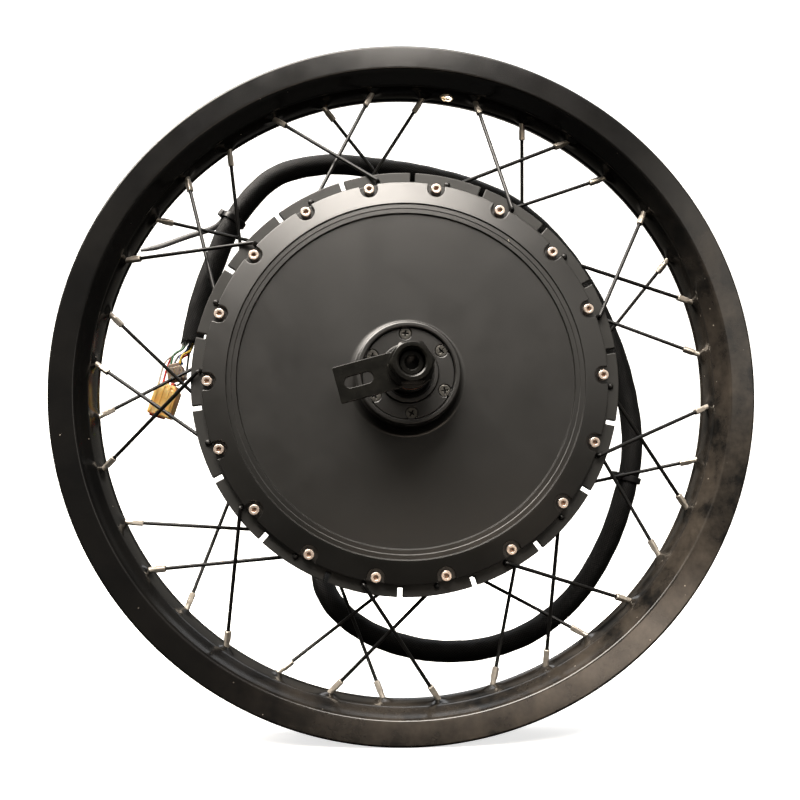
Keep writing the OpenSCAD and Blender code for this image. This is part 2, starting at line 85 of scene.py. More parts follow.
ROUTE = [
    (0, 118.2, 0), (0, 142, 0), (-1, 158, -6), (-6, 172, -22), (-15, 178, -46),
    (-27, 172, -72), (-39, 156, -94), (-50, 132, -112), (-58, 108, -124),
    (-62, 84, -136), (-60, 67, -149), (-49, 57, -165), (-28, 56, -181),
    (0, 56, -192), (32, 56, -197), (68, 56, -194), (104, 56, -180),
    (136, 56, -153), (161, 56, -114), (178, 56, -66), (182, 56, -32),
    (178, 56, 4), (168, 56, 42), (150, 56, 84), (124, 56, 122),
    (92, 56, 152), (56, 56, 169), (18, 56, 179), (-22, 56, 185),
    (-64, 56, 187), (-104, 56, 175), (-134, 56, 140), (-149, 56, 104),
    (-159, 56, 72), (-165, 56, 40),
]
TIED = (19, 31)


# ---------------------------------------------------------------- mesh helpers
def at(radius, clock, out):
    """Row-frame points in mm: radius, clockwise angle from the top in degrees, distance to the near side."""
    radius, clock, out = np.broadcast_arrays(*(np.asarray(v, float) for v in (radius, clock, out)))
    turn = np.radians(clock)
    return np.stack([radius * np.sin(turn), -out, radius * np.cos(turn)], axis=-1)


def unit(vector):
    vector = np.asarray(vector, float)
    return vector / np.linalg.norm(vector, axis=-1, keepdims=True)


def grid(rows, cols, wrap_rows=False, wrap_cols=True):
    i, j = np.meshgrid(np.arange(rows if wrap_rows else rows - 1),
                       np.arange(cols if wrap_cols else cols - 1), indexing="ij")
    i2, j2 = (i + 1) % rows, (j + 1) % cols
    return np.stack([i * cols + j, i * cols + j2, i2 * cols + j2, i2 * cols + j], -1).reshape(-1, 4)


class Shape:
    """Points in mm and faces, each with a material number."""

    def __init__(self):
        self.points, self.faces, self.kinds, self.size = [], [], [], 0

    def add(self, points, faces, kind=0):
        points = np.asarray(points, float).reshape(-1, 3)
        self.points.append(points)
        moved = [[int(i) + self.size for i in face] for face in faces]
        self.faces += moved
        self.kinds += [kind] * len(moved)
        self.size += len(points)
        return self

    def join(self, other, matrix=None, kind=None):
        points = other.all_points()
        if matrix is not None:
            points = points @ matrix[:3, :3].T + matrix[:3, 3]
        base = self.size
        self.points.append(points)
        self.faces += [[i + base for i in face] for face in other.faces]
        self.kinds += other.kinds if kind is None else [kind] * len(other.faces)
        self.size += len(points)
        return self

    def all_points(self):
        return np.concatenate(self.points)


def make(name, shape, materials, body, replaces=(), weighted=True, turned=False,
         merge=0.002, recalc=True):
    """Makes the Blender object of a shape, riding on a body."""
    points = shape.all_points()
    if turned:
        turn = math.radians(WHEEL_TURN)
        c, s = math.cos(turn), math.sin(turn)
        points = points @ np.array([[c, 0, s], [0, 1, 0], [-s, 0, c]]).T
    mesh = bpy.data.meshes.new(name)
    mesh.from_pydata((points * MM).tolist(), [], shape.faces)
    materials = materials if isinstance(materials, (list, tuple)) else [materials]
    for material in materials:
        mesh.materials.append(material)
    mesh.polygons.foreach_set("material_index", shape.kinds)
    bm = bmesh.new()
    bm.from_mesh(mesh)
    if merge:
        bmesh.ops.remove_doubles(bm, verts=bm.verts, dist=merge * MM)
    if recalc:
        bmesh.ops.recalc_face_normals(bm, faces=bm.faces)
    for face in bm.faces:
        face.smooth = True
    bm.to_mesh(mesh)
    bm.free()
    obj = bpy.data.objects.new(name, mesh)
    scene.collection.objects.link(obj)
    if weighted:
        modifier = obj.modifiers.new("even_shading", "WEIGHTED_NORMAL")
        modifier.weight = 60
    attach(obj, body)
    if replaces:
        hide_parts(*replaces)
    return obj


def soften(points, size=0.4, steps=3, closed=True):
    """Rounds a profile's corners. A point may carry its own size as a third number."""
    out = []
    n = len(points)
    for i, point in enumerate(points):
        own = point[2] if len(point) > 2 else size
        p = np.array(point[:2], float)
        if own <= 0 or (not closed and i in (0, n - 1)):
            out.append(p)
            continue
        before, after = (np.array(points[j % n][:2], float) for j in (i - 1, i + 1))
        da, db = np.linalg.norm(before - p), np.linalg.norm(after - p)
        cut = min(own, 0.48 * da, 0.48 * db)
        a, b = p + (before - p) / da * cut, p + (after - p) / db * cut
        for t in np.linspace(0, 1, steps + 1):
            out.append((1 - t) ** 2 * a + 2 * t * (1 - t) * p + t * t * b)
    return np.array(out)


def lathe(profile, clocks=360, closed=True, side=1, kind=0):
    """Turns a profile of (radius, out) points about the axle."""
    profile = np.asarray(profile, float)
    clocks = np.linspace(0, 360, clocks, endpoint=False) if np.isscalar(clocks) else np.asarray(clocks)
    points = at(profile[None, :, 0], clocks[:, None], side * profile[None, :, 1])
    count = len(profile)
    faces = grid(len(clocks), count, wrap_rows=True, wrap_cols=closed)
    return Shape().add(points, faces, kind)


def local_lathe(profile, clocks=32, closed=False, kind=0):
    """Turns (radius, height) points about z, for small parts placed with a matrix."""
    profile = np.asarray(profile, float)
    turn = np.linspace(0, 2 * math.pi, clocks, endpoint=False)[:, None]
    points = np.stack([profile[None, :, 0] * np.cos(turn), profile[None, :, 0] * np.sin(turn),
                       profile[None, :, 1] + 0 * turn], axis=-1)
    return Shape().add(points, grid(clocks, len(profile), True, closed), kind)


def orient(loop, counter_clockwise):
    loop = np.asarray(loop, float)
    area = np.sum(loop[:, 0] * np.roll(loop[:, 1], -1) - np.roll(loop[:, 0], -1) * loop[:, 1])
    return loop if (area > 0) == counter_clockwise else loop[::-1]


def grown(loop, distance):
    """The loop moved away from the material by a distance."""
    e1, e2 = unit(loop - np.roll(loop, 1, 0)), unit(np.roll(loop, -1, 0) - loop)
    n1, n2 = (np.stack([e[:, 1], -e[:, 0]], -1) for e in (e1, e2))
    m = unit(n1 + n2)
    return loop + distance * m / np.maximum(np.sum(m * n1, -1, keepdims=True), 0.6)


def inside(points, loops):
    odd = np.zeros(len(points), bool)
    for loop in loops:
        a, b = loop, np.roll(loop, -1, 0)
        for (x1, y1), (x2, y2) in zip(a, b):
            if y1 == y2:
                continue
            hit = (points[:, 1] >= min(y1, y2)) & (points[:, 1] < max(y1, y2))
            odd[hit] ^= points[hit, 0] < x1 + (points[hit, 1] - y1) / (y2 - y1) * (x2 - x1)
    return odd


def fill(loops, extra=()):
    """Triangles inside an outer loop and outside the others."""
    flat, edges = [], []
    for loop in loops:
        start = len(flat)
        flat += [Vector((float(x), float(y))) for x, y in loop]
        edges += [(start + i, start + (i + 1) % len(loop)) for i in range(len(loop))]
    flat += [Vector((float(x), float(y))) for x, y in extra]
    found = delaunay_2d_cdt(flat, edges, [], 0, 1e-5)
    points = np.array([(v.x, v.y) for v in found[0]])
    triangles = np.array(found[2])
    middle = points[triangles].mean(1)
    return points, triangles[inside(middle, loops)]


def plate(outer, holes, low, high, bevel=0.4, steps=2, extra=(), bare=(), kind=0, support=0.25):
    """A flat part with rounded edges. low and high are heights or functions of (x, y) points.
    Holes whose number is in bare get no wall. Its x and y are the row's x and z, its height the way out."""
    low = low if callable(low) else (lambda p, h=low: np.full(len(p), float(h)))
    high = high if callable(high) else (lambda p, h=high: np.full(len(p), float(h)))
    loops = [orient(outer, True)] + [orient(hole, False) for hole in holes]
    shape = Shape()
    caps = []
    for number, loop in enumerate(loops):
        if number - 1 in bare:
            caps.append(loop)
            continue
        edge = grown(loop, -bevel - support)
        rings = [(edge, low(edge))]
        for j in range(steps + 1):
            turn = math.radians(90 * j / steps)
            ring = grown(loop, -bevel * (1 - math.sin(turn)))
            rings.append((ring, low(ring) + bevel * (1 - math.cos(turn))))
        for j in range(steps, -1, -1):
            turn = math.radians(90 * j / steps)
            ring = grown(loop, -bevel * (1 - math.sin(turn)))
            rings.append((ring, high(ring) - bevel * (1 - math.cos(turn))))
        rings.append((edge, high(edge)))
        points = np.concatenate([np.stack([r[:, 0], -h, r[:, 1]], -1) for r, h in rings])
        shape.add(points, grid(len(rings), len(loop)), kind)
        caps.append(rings[-1][0])
    flat, triangles = fill(caps, extra)
    for height in (low, high):
        shape.add(np.stack([flat[:, 0], -height(flat), flat[:, 1]], -1), triangles, kind)
    return shape


def circle(radius, count, centre=(0, 0), start=0.0):
    turn = np.linspace(0, 2 * math.pi, count, endpoint=False) + start
    return np.stack([centre[0] + radius * np.cos(turn), centre[1] + radius * np.sin(turn)], -1)


def clockwise(points, degrees):
    turn = math.radians(degrees)
    c, s = math.cos(turn), math.sin(turn)
    points = np.asarray(points, float)
    return np.stack([points[:, 0] * c + points[:, 1] * s, -points[:, 0] * s + points[:, 1] * c], -1)


def aimed(origin, direction, twist=0.0):
    """A matrix that stands z along a direction at a point, like aimed() in the CAD source."""
    d = unit(direction)
    polar, azimuth, spin = math.acos(max(-1, min(1, d[2]))), math.atan2(d[1], d[0]), math.radians(twist)
    turn = np.array(Matrix.Rotation(azimuth, 3, "Z") @ Matrix.Rotation(polar, 3, "Y")
                    @ Matrix.Rotation(spin, 3, "Z"))
    full = np.eye(4)
    full[:3, :3], full[:3, 3] = turn, origin
    return full


def spline(points, per):
    """The same smooth line through the points as the CAD source draws."""
    p = np.asarray(points, float)
    out = []
    for i in range(len(p) - 1):
        a, b, c, d = p[max(i - 1, 0)], p[i], p[i + 1], p[min(i + 2, len(p) - 1)]
        for t in np.arange(per) / per:
            out.append(0.5 * (2 * b + (c - a) * t + (2 * a - 5 * b + 4 * c - d) * t * t
                              + (3 * b - a - 3 * c + d) * t ** 3))
    out.append(p[-1])
    return np.array(out)


def frames_along(line, first=(1.0, 0.0, 0.0)):
    """Tangents and two sideways directions that don't twist along a line."""
    t = unit(np.concatenate([[line[1] - line[0]], line[2:] - line[:-2], [line[-1] - line[-2]]]))
    side = np.array(first, float)
    sides = []
    for way in t:
        side = side - np.dot(side, way) * way
        if np.linalg.norm(side) < 1e-6:
            side = np.cross(way, (0.0, 0.0, 1.0))
        side = side / np.linalg.norm(side)
        sides.append(side)
    sides = np.array(sides)
    return t, sides, np.cross(t, sides)


def tube(line, radius, count=12, caps=True, kind=0, first=(1.0, 0.0, 0.0)):
    """A tube along a line; radius may be one number, one per point, or one per point and side."""
    line = np.asarray(line, float)
    t, u, v = frames_along(line, first)
    turn = np.linspace(0, 2 * math.pi, count, endpoint=False)
    radius = np.asarray(radius, float)
    radius = radius[:, None] if radius.ndim == 1 else radius
    ring = (np.cos(turn)[None, :, None] * u[:, None, :] + np.sin(turn)[None, :, None] * v[:, None, :])
    points = line[:, None, :] + ring * (radius * np.ones((len(line), count)))[:, :, None]
    shape = Shape().add(points, grid(len(line), count), kind)
    if caps:
        last = (len(line) - 1) * count
        shape.faces += [list(range(count)), [last + i for i in range(count)]]
        shape.kinds += [kind, kind]
    return shape


# ---------------------------------------------------------------- materials
def links_of(material):
    material.use_nodes = True
    tree = material.node_tree
    return tree, tree.nodes, tree.links, tree.nodes["Principled BSDF"]


def noise(nodes, links, coordinates, scale, detail=3.0, rough=0.5):
    node = nodes.new("ShaderNodeTexNoise")
    node.inputs["Scale"].default_value = scale
    node.inputs["Detail"].default_value = detail
    node.inputs["Roughness"].default_value = rough
    links.new(coordinates, node.inputs["Vector"])
    return node.outputs["Fac"]


def ramp(nodes, links, value, low, high, low_value=0.0, high_value=1.0):
    node = nodes.new("ShaderNodeMapRange")
    node.inputs["From Min"].default_value = low
    node.inputs["From Max"].default_value = high
    node.inputs["To Min"].default_value = low_value
    node.inputs["To Max"].default_value = high_value
    links.new(value, node.inputs["Value"])
    return node.outputs["Result"]


def product(nodes, links, first, second):
    node = nodes.new("ShaderNodeMath")
    node.operation = "MULTIPLY"
    links.new(first, node.inputs[0])
    links.new(second, node.inputs[1])
    return node.outputs[0]


def blend(nodes, links, factor, first, second):
    node = nodes.new("ShaderNodeMix")
    node.data_type = "RGBA"
    links.new(factor, node.inputs["Factor"])
    for socket, value in ((node.inputs[6], first), (node.inputs[7], second)):
        if isinstance(value, (tuple, list)):
            socket.default_value = (*value, 1.0)
        else:
            links.new(value, socket)
    return node.outputs[2]


def surface(name, base, other, rough=(0.35, 0.5), metal=0.0, patch=0.02, grain=0.0006, bump=0.06,
            specks=None, scratches=None, wear=None, dust_and_reflection=None, specular=0.5, stretch=(1, 1, 1)):
    """A finish with patchy colour and roughness and fine grain. Specks, scratches, worn edges and a
    brownish film on the lower right, part dust and part painted reflection, are added where they are asked
    for."""
    material = bpy.data.materials.new(name)
    tree, nodes, links, shader = links_of(material)
    place = nodes.new("ShaderNodeTexCoord").outputs["Object"]
    if stretch != (1, 1, 1):
        mapping = nodes.new("ShaderNodeMapping")
        mapping.inputs["Scale"].default_value = stretch
        links.new(place, mapping.inputs["Vector"])
        grain_place = mapping.outputs["Vector"]
    else:
        grain_place = place
    patches = noise(nodes, links, place, 1 / patch, 4.0, 0.6)
    colour = blend(nodes, links, ramp(nodes, links, patches, 0.35, 0.65), base, other)
    fine = noise(nodes, links, grain_place, 1 / grain, 3.0)
    roughness = ramp(nodes, links, noise(nodes, links, place, 2.3 / patch, 5.0, 0.65),
                     0.3, 0.7, rough[0], rough[1])
    if dust_and_reflection:
        # brownish film towards the lower right, placed by position: part dust, part painted warm reflection
        slope = nodes.new("ShaderNodeVectorMath")
        slope.operation = "DOT_PRODUCT"
        slope.inputs[1].default_value = (0.75, 0.0, -0.66)
        links.new(place, slope.inputs[0])
        low_right = ramp(nodes, links, slope.outputs["Value"], 0.02, 0.24)
        film = ramp(nodes, links, noise(nodes, links, place, 38.0, 6.0, 0.65), 0.38, 0.68)
        colour = blend(nodes, links, product(nodes, links, low_right, film), colour, dust_and_reflection)
    if scratches:
        size, amount, tone = scratches
        mapping = nodes.new("ShaderNodeMapping")
        mapping.inputs["Rotation"].default_value = (0.4, 0.9, 0.7)
        mapping.inputs["Scale"].default_value = (1.0, 14.0, 9.0)
        links.new(place, mapping.inputs["Vector"])
        lines = ramp(nodes, links, noise(nodes, links, mapping.outputs["Vector"], 1 / size, 6.0, 0.7),
                     amount, amount + 0.06)
        colour = blend(nodes, links, lines, colour, tone)
    if specks:
        size, amount, tone = specks
        cells = nodes.new("ShaderNodeTexVoronoi")
        cells.inputs["Scale"].default_value = 1 / size
        cells.inputs["Randomness"].default_value = 1.0
        links.new(place, cells.inputs["Vector"])
        spots = ramp(nodes, links, cells.outputs["Distance"], amount, amount * 0.4)
        sparse = ramp(nodes, links, noise(nodes, links, place, 0.35 / size, 2.0), 0.52, 0.6)
        colour = blend(nodes, links, product(nodes, links, spots, sparse), colour, tone)
    if wear:
        amount, tone = wear
        edge = nodes.new("ShaderNodeNewGeometry").outputs["Pointiness"]
        worn = ramp(nodes, links, edge, 0.5 + amount, 0.5 + 2.2 * amount)
        rub = ramp(nodes, links, noise(nodes, links, place, 400.0, 5.0, 0.7), 0.4, 0.6)
        colour = blend(nodes, links, product(nodes, links, worn, rub), colour, tone)
    links.new(colour, shader.inputs["Base Color"])
    links.new(roughness, shader.inputs["Roughness"])
    shader.inputs["Metallic"].default_value = metal
    shader.inputs["Specular IOR Level"].default_value = specular
    bumps = nodes.new("ShaderNodeBump")
    bumps.inputs["Strength"].default_value = bump
    bumps.inputs["Distance"].default_value = grain * 0.5
    links.new(fine, bumps.inputs["Height"])
    links.new(bumps.outputs["Normal"], shader.inputs["Normal"])
    return material


# the rim's lower right gets a brownish film: dust together with a painted warm reflection
rim_paint = surface("rim_paint", (0.0035, 0.0035, 0.0036), (0.006, 0.0057, 0.0053), (0.15, 0.22), patch=0.05,
                    grain=0.0009, bump=0.05, specks=(0.009, 0.07, (0.34, 0.30, 0.25)),
                    scratches=(0.02, 0.72, (0.02, 0.018, 0.016)), specular=0.4, dust_and_reflection=(0.052, 0.043, 0.034))
cover_paint = surface("cover_paint", (0.0035, 0.0033, 0.0028), (0.006, 0.0056, 0.0048), (0.36, 0.42),
                      patch=0.06, grain=0.0005, bump=0.10, scratches=(0.03, 0.72, (0.02, 0.019, 0.017)),
                      specular=0.75)
shell_paint = surface("shell_paint", (0.012, 0.012, 0.0112), (0.016, 0.0155, 0.014), (0.40, 0.52),
                      patch=0.03, grain=0.0006, bump=0.12)
black_oxide = surface("black_oxide", (0.0035, 0.0034, 0.0029), (0.007, 0.0067, 0.0056), (0.20, 0.28),
                      patch=0.006, grain=0.0004, bump=0.08, wear=(0.07, (0.03, 0.028, 0.024)),
                      scratches=(0.006, 0.72, (0.02, 0.019, 0.016)), specular=0.28)
spoke_black = surface("spoke_black", (0.004, 0.004, 0.004), (0.008, 0.0077, 0.0072), (0.30, 0.42),
                      patch=0.01, grain=0.0004, bump=0.05, specular=0.3)
bolt_steel = surface("bolt_steel", (0.72, 0.62, 0.54), (0.62, 0.50, 0.42), (0.26, 0.42), metal=0.8,
                     patch=0.002, grain=0.0003, bump=0.08)
# finish for the floor of each bolt's hex socket: darker brown metal, painted shade at the bottom of the
# recess
socket_painted_shade = surface("socket_painted_shade", (0.45, 0.30, 0.22), (0.32, 0.20, 0.14), (0.4, 0.6), metal=0.6,
                      patch=0.001, grain=0.0003, bump=0.1)
screw_steel = surface("screw_steel", (0.10, 0.096, 0.088), (0.15, 0.144, 0.13), (0.3, 0.42), metal=0.9,
                      patch=0.002, grain=0.0003, bump=0.1)
nickel = surface("nickel", (0.52, 0.48, 0.42), (0.42, 0.37, 0.31), (0.26, 0.42), metal=0.55,
                 patch=0.004, grain=0.0004, bump=0.12, scratches=(0.003, 0.66, (0.34, 0.30, 0.26)))
copper = surface("copper", (0.98, 0.46, 0.27), (0.88, 0.36, 0.19), (0.28, 0.42), metal=0.0,
                 patch=0.004, grain=0.0004, bump=0.08, scratches=(0.004, 0.68, (0.95, 0.62, 0.48)))
rubber = surface("rubber", (0.006, 0.006, 0.006), (0.010, 0.010, 0.0095), (0.55, 0.75), patch=0.006,
                 grain=0.0005, bump=0.2, specular=0.15)
tie_nylon = surface("tie_nylon", (0.005, 0.005, 0.0055), (0.009, 0.009, 0.0095), (0.28, 0.42), patch=0.004,
                    grain=0.0006, bump=0.06, specular=0.35)
bare_alloy = surface("bare_alloy", (0.80, 0.72, 0.60), (0.62, 0.54, 0.42), (0.25, 0.4), metal=1.0,
                     patch=0.002, grain=0.0003, bump=0.15)


def inner(name, base, other, rough, metal, grain=0.0006, bump=0.1, **more):
    return surface(name, base, other, rough, metal=metal, patch=0.008, grain=grain, bump=bump, **more)


CAD_FINISHES = {
    "carrier_key": inner("key_steel", (0.42, 0.42, 0.43), (0.34, 0.34, 0.35), (0.3, 0.45), 1.0),
    "stator_carrier": inner("carrier_alloy", (0.60, 0.60, 0.61), (0.50, 0.50, 0.50), (0.35, 0.5), 1.0,
                            scratches=(0.01, 0.66, (0.75, 0.75, 0.76))),
    "stator_core": inner("core_steel", (0.30, 0.31, 0.33), (0.22, 0.22, 0.24), (0.4, 0.55), 1.0,
                         grain=0.0005, bump=0.4, stretch=(0.05, 1, 0.05)),
    "end_insulators": inner("insulator", (0.75, 0.72, 0.62), (0.66, 0.62, 0.50), (0.5, 0.65), 0.0),
    "windings": inner("enamelled_wire", (0.56, 0.20, 0.07), (0.42, 0.13, 0.04), (0.25, 0.4), 0.7,
                      grain=0.0011, bump=0.6, stretch=(0.05, 1, 1)),
    "hall_board": inner("board_green", (0.03, 0.20, 0.09), (0.02, 0.14, 0.06), (0.3, 0.45), 0.0),
    "hall_sensors": inner("sensor_black", (0.02, 0.02, 0.02), (0.03, 0.03, 0.03), (0.4, 0.55), 0.0),
    "lead_bundle": inner("lead_jacket", (0.05, 0.05, 0.055), (0.03, 0.03, 0.035), (0.4, 0.6), 0.0),
    "magnet_yoke": inner("yoke_steel", (0.30, 0.30, 0.31), (0.24, 0.24, 0.25), (0.35, 0.5), 1.0),
    "magnets": inner("magnet_nickel", (0.62, 0.62, 0.64), (0.55, 0.55, 0.57), (0.2, 0.35), 1.0),
}
for node_name in ("bearing_inner_near", "bearing_inner_far", "bearing_outer_near", "bearing_outer_far"):
    CAD_FINISHES[node_name] = inner("race_" + node_name[8:], (0.62, 0.62, 0.64), (0.55, 0.55, 0.56),
                                    (0.12, 0.22), 1.0)
for node_name in ("balls_near", "balls_far"):
    CAD_FINISHES[node_name] = inner("ball_" + node_name[6:], (0.70, 0.70, 0.72), (0.64, 0.64, 0.66),
                                    (0.05, 0.1), 1.0)
for node_name in ("cage_near", "cage_far"):
    CAD_FINISHES[node_name] = inner("brass_" + node_name[5:], (0.72, 0.48, 0.16), (0.60, 0.38, 0.12),
                                    (0.3, 0.45), 1.0)
for node_name in ("seal_near", "seal_far"):
    CAD_FINISHES[node_name] = rubber
for node_name, finish in CAD_FINISHES.items():
    cad_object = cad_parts[node_name]
    for place in cad_object.material_slots:
        place.link = "OBJECT"
        place.material = finish


def braid():
    """Woven nylon sleeve: two crossing sets of strands along the cable's own length."""
    material = bpy.data.materials.new("braided_sleeve")
    tree, nodes, links, shader = links_of(material)
    uv = nodes.new("ShaderNodeUVMap")
    uv.uv_map = "along"
    strands = []
    for degrees in (38, -38):
        mapping = nodes.new("ShaderNodeMapping")
        mapping.inputs["Rotation"].default_value = (0, 0, math.radians(degrees))
        links.new(uv.outputs["UV"], mapping.inputs["Vector"])
        wave = nodes.new("ShaderNodeTexWave")
        wave.wave_type = "BANDS"
        wave.bands_direction = "X"
        wave.inputs["Scale"].default_value = 210.0
        wave.inputs["Distortion"].default_value = 0.6
        wave.inputs["Detail"].default_value = 1.0
        wave.inputs["Detail Scale"].default_value = 2.0
        links.new(mapping.outputs["Vector"], wave.inputs["Vector"])
        strands.append(wave.outputs["Fac"])
    weave = nodes.new("ShaderNodeMath")
    weave.operation = "MAXIMUM"
    links.new(strands[0], weave.inputs[0])
    links.new(strands[1], weave.inputs[1])
    place = nodes.new("ShaderNodeTexCoord").outputs["Object"]
    stretch = nodes.new("ShaderNodeMapping")
    stretch.inputs["Scale"].default_value = (1.0, 0.05, 1.0)
    links.new(uv.outputs["UV"], stretch.inputs["Vector"])
    streaks = noise(nodes, links, stretch.outputs["Vector"], 420.0, 4.0, 0.7)
    patches = noise(nodes, links, place, 28.0, 4.0, 0.6)
    strand = blend(nodes, links, ramp(nodes, links, streaks, 0.5, 0.75), (0.005, 0.005, 0.005),
                   (0.030, 0.027, 0.024))
    rubbed = blend(nodes, links, ramp(nodes, links, patches, 0.45, 0.75), (0.003, 0.003, 0.003), strand)
    colour = blend(nodes, links, ramp(nodes, links, weave.outputs[0], 0.5, 1.0), (0.001, 0.001, 0.001),
                   rubbed)
    links.new(colour, shader.inputs["Base Color"])
    links.new(ramp(nodes, links, weave.outputs[0], 0.4, 1.0, 0.8, 0.46), shader.inputs["Roughness"])
    shader.inputs["Specular IOR Level"].default_value = 0.2
    bumps = nodes.new("ShaderNodeBump")
    bumps.inputs["Strength"].default_value = 0.5
    bumps.inputs["Distance"].default_value = 0.0004
    links.new(weave.outputs[0], bumps.inputs["Height"])
    links.new(bumps.outputs["Normal"], shader.inputs["Normal"])
    return material


def moulded(name, base, other, through=0.0, rough=(0.25, 0.4)):
    """Moulded nylon, a little translucent."""
    material = surface(name, base, other, rough, patch=0.008, grain=0.0007, bump=0.08)
    shader = material.node_tree.nodes["Principled BSDF"]
    shader.inputs["Transmission Weight"].default_value = through
    shader.inputs["Subsurface Weight"].default_value = 0.35
    shader.inputs["Subsurface Radius"].default_value = (0.006, 0.003, 0.001)
    shader.inputs["Subsurface Scale"].default_value = 1.0
    shader.inputs["IOR"].default_value = 1.5
    return material


amber = moulded("amber_nylon", (0.95, 0.50, 0.12), (0.98, 0.70, 0.30), 0.35)
brown = moulded("brown_nylon", (0.22, 0.16, 0.12), (0.30, 0.23, 0.18), 0.15)
red_insert = moulded("red_insert", (0.62, 0.05, 0.03), (0.70, 0.10, 0.05), 0.05)
WIRES = [
    surface("wire_" + name, colour, tuple(0.8 * c for c in colour), (0.3, 0.45), patch=0.004,
            grain=0.0005, bump=0.05)
    for name, colour in (("grey", (0.16, 0.17, 0.16)), ("green", (0.05, 0.16, 0.08)),
                         ("red", (0.55, 0.03, 0.02)), ("yellow", (0.62, 0.42, 0.05)),
                         ("blue", (0.03, 0.08, 0.30)), ("white", (0.60, 0.57, 0.52)),
                         ("black", (0.012, 0.012, 0.012)))
]


# ---------------------------------------------------------------- the cable
def wobble(along, seed, size=1.0):
    """A smooth uneven number along a length, from a few sines."""
    total = np.zeros_like(np.asarray(along, float))
    for i, (wave, share) in enumerate(((61.0, 0.5), (37.0, 0.3), (17.0, 0.2))):
        total = total + share * np.sin(2 * math.pi * along / wave + seed * 1.7 + i * 2.1)
    return size * total


route = spline(ROUTE, 10)
steps_along = np.concatenate([[0], np.cumsum(np.linalg.norm(np.diff(route, axis=0), axis=1))])
SIDES = 40
around = np.linspace(0, 2 * math.pi, SIDES, endpoint=False)[None, :]
along = steps_along[:, None]
flat = 0.055 + 0.025 * np.sin(along / 53.0 + 0.7)
sleeve_r = CABLE_D / 2 * (0.975 + flat * np.cos(2 * (around + 0.9 + 0.5 * np.sin(along / 140.0)))
                          + 0.018 * wobble(along, 1.0) * np.cos(3 * around + 1.0)
                          + 0.012 * np.sin(along / 3.1 + 2.0 * np.sin(3 * around)))
near_start = np.clip(along / 24.0, 0, 1)
sleeve_r = sleeve_r * near_start + CABLE_D / 2 * 0.96 * (1 - near_start)
for tied in TIED:
    middle = steps_along[tied * 10]
    sleeve_r = sleeve_r * (1 - 0.07 * np.exp(-((along - middle) / 5.0) ** 2))
sleeve_shape = tube(route, sleeve_r, SIDES, caps=True)
sleeve = make("cable_sleeve_braid", sleeve_shape, braid(), "axle_side", ("cable_sleeve",),
              weighted=False, merge=0)
uv_layer = sleeve.data.uv_layers.new(name="along")
turn_width = math.pi * CABLE_D * MM
for polygon in sleeve.data.polygons:
    corners = [sleeve.data.loops[i].vertex_index for i in polygon.loop_indices]
    last_side = any(c % SIDES == SIDES - 1 for c in corners)
    for loop_index, corner in zip(polygon.loop_indices, corners):
        side = corner % SIDES
        if last_side and side == 0:
            side = SIDES
        uv_layer.data[loop_index].uv = (side / SIDES * turn_width, steps_along[corner // SIDES] * MM)

# the frayed end of the sleeve
fray = Shape()
end_point, end_way = route[-1], unit(route[-1] - route[-3])
_, end_u, end_v = frames_along(route[-3:])
rng = np.random.default_rng(7)
for number in range(64):
    turn = 2 * math.pi * number / 64 + rng.uniform(-0.04, 0.04)
    out = end_u[-1] * math.cos(turn) + end_v[-1] * math.sin(turn)
    reach, flare = rng.uniform(1.6, 4.6), rng.uniform(-0.9, 1.3)
    start = end_point + out * 7.9 - end_way * 1.5
    bend = start + end_way * (1.5 + reach * 0.5) + out * flare * 0.3
    tip = start + end_way * (1.5 + reach) + out * flare + np.cross(end_way, out) * rng.uniform(-1, 1)
    fray.join(tube(spline([start, bend, tip], 3), np.linspace(0.26, 0.10, 7), 5))
fray_piece = make("sleeve_fray", fray, rubber, "axle_side", weighted=False, merge=0)

# thin wires from the sleeve's end to the connectors
wires = Shape()
WIRE_PATHS = [
    (0, (-163.5, 56, 44), (-168, 57, 34), (-174.5, 54, 29), (-177.5, 52, 22)),
    (1, (-166.0, 54, 44), (-171, 53, 35), (-177.0, 50, 30), (-179.0, 49, 22)),
    (2, (-164.0, 58, 44), (-167, 59, 33), (-172.0, 55, 28), (-174.5, 53, 22)),
    (3, (-162.5, 54, 44), (-165, 53, 34), (-170.5, 49, 29), (-172.0, 48, 22)),
    (4, (-165.5, 58, 44), (-169, 58, 35), (-172.5, 51, 28), (-170.5, 51, 22)),
    (5, (-167.5, 55, 44), (-174, 55, 34), (-184.0, 51, 24), (-188.5, 50, 6)),
    (2, (-167.0, 57, 44), (-173, 58, 36), (-181.0, 54, 26), (-186.0, 53, 6)),
    (6, (-164.5, 55, 44), (-167, 56, 30), (-169.5, 56, 12), (-175.0, 54, 6)),
]
for kind, *stops in WIRE_PATHS:
    wires.join(tube(spline(stops, 7), 0.85, 10, kind=kind))
wire_piece = make("sensor_wires", wires, WIRES, "axle_side", ("cable_leads",), weighted=False,
                  merge=0)


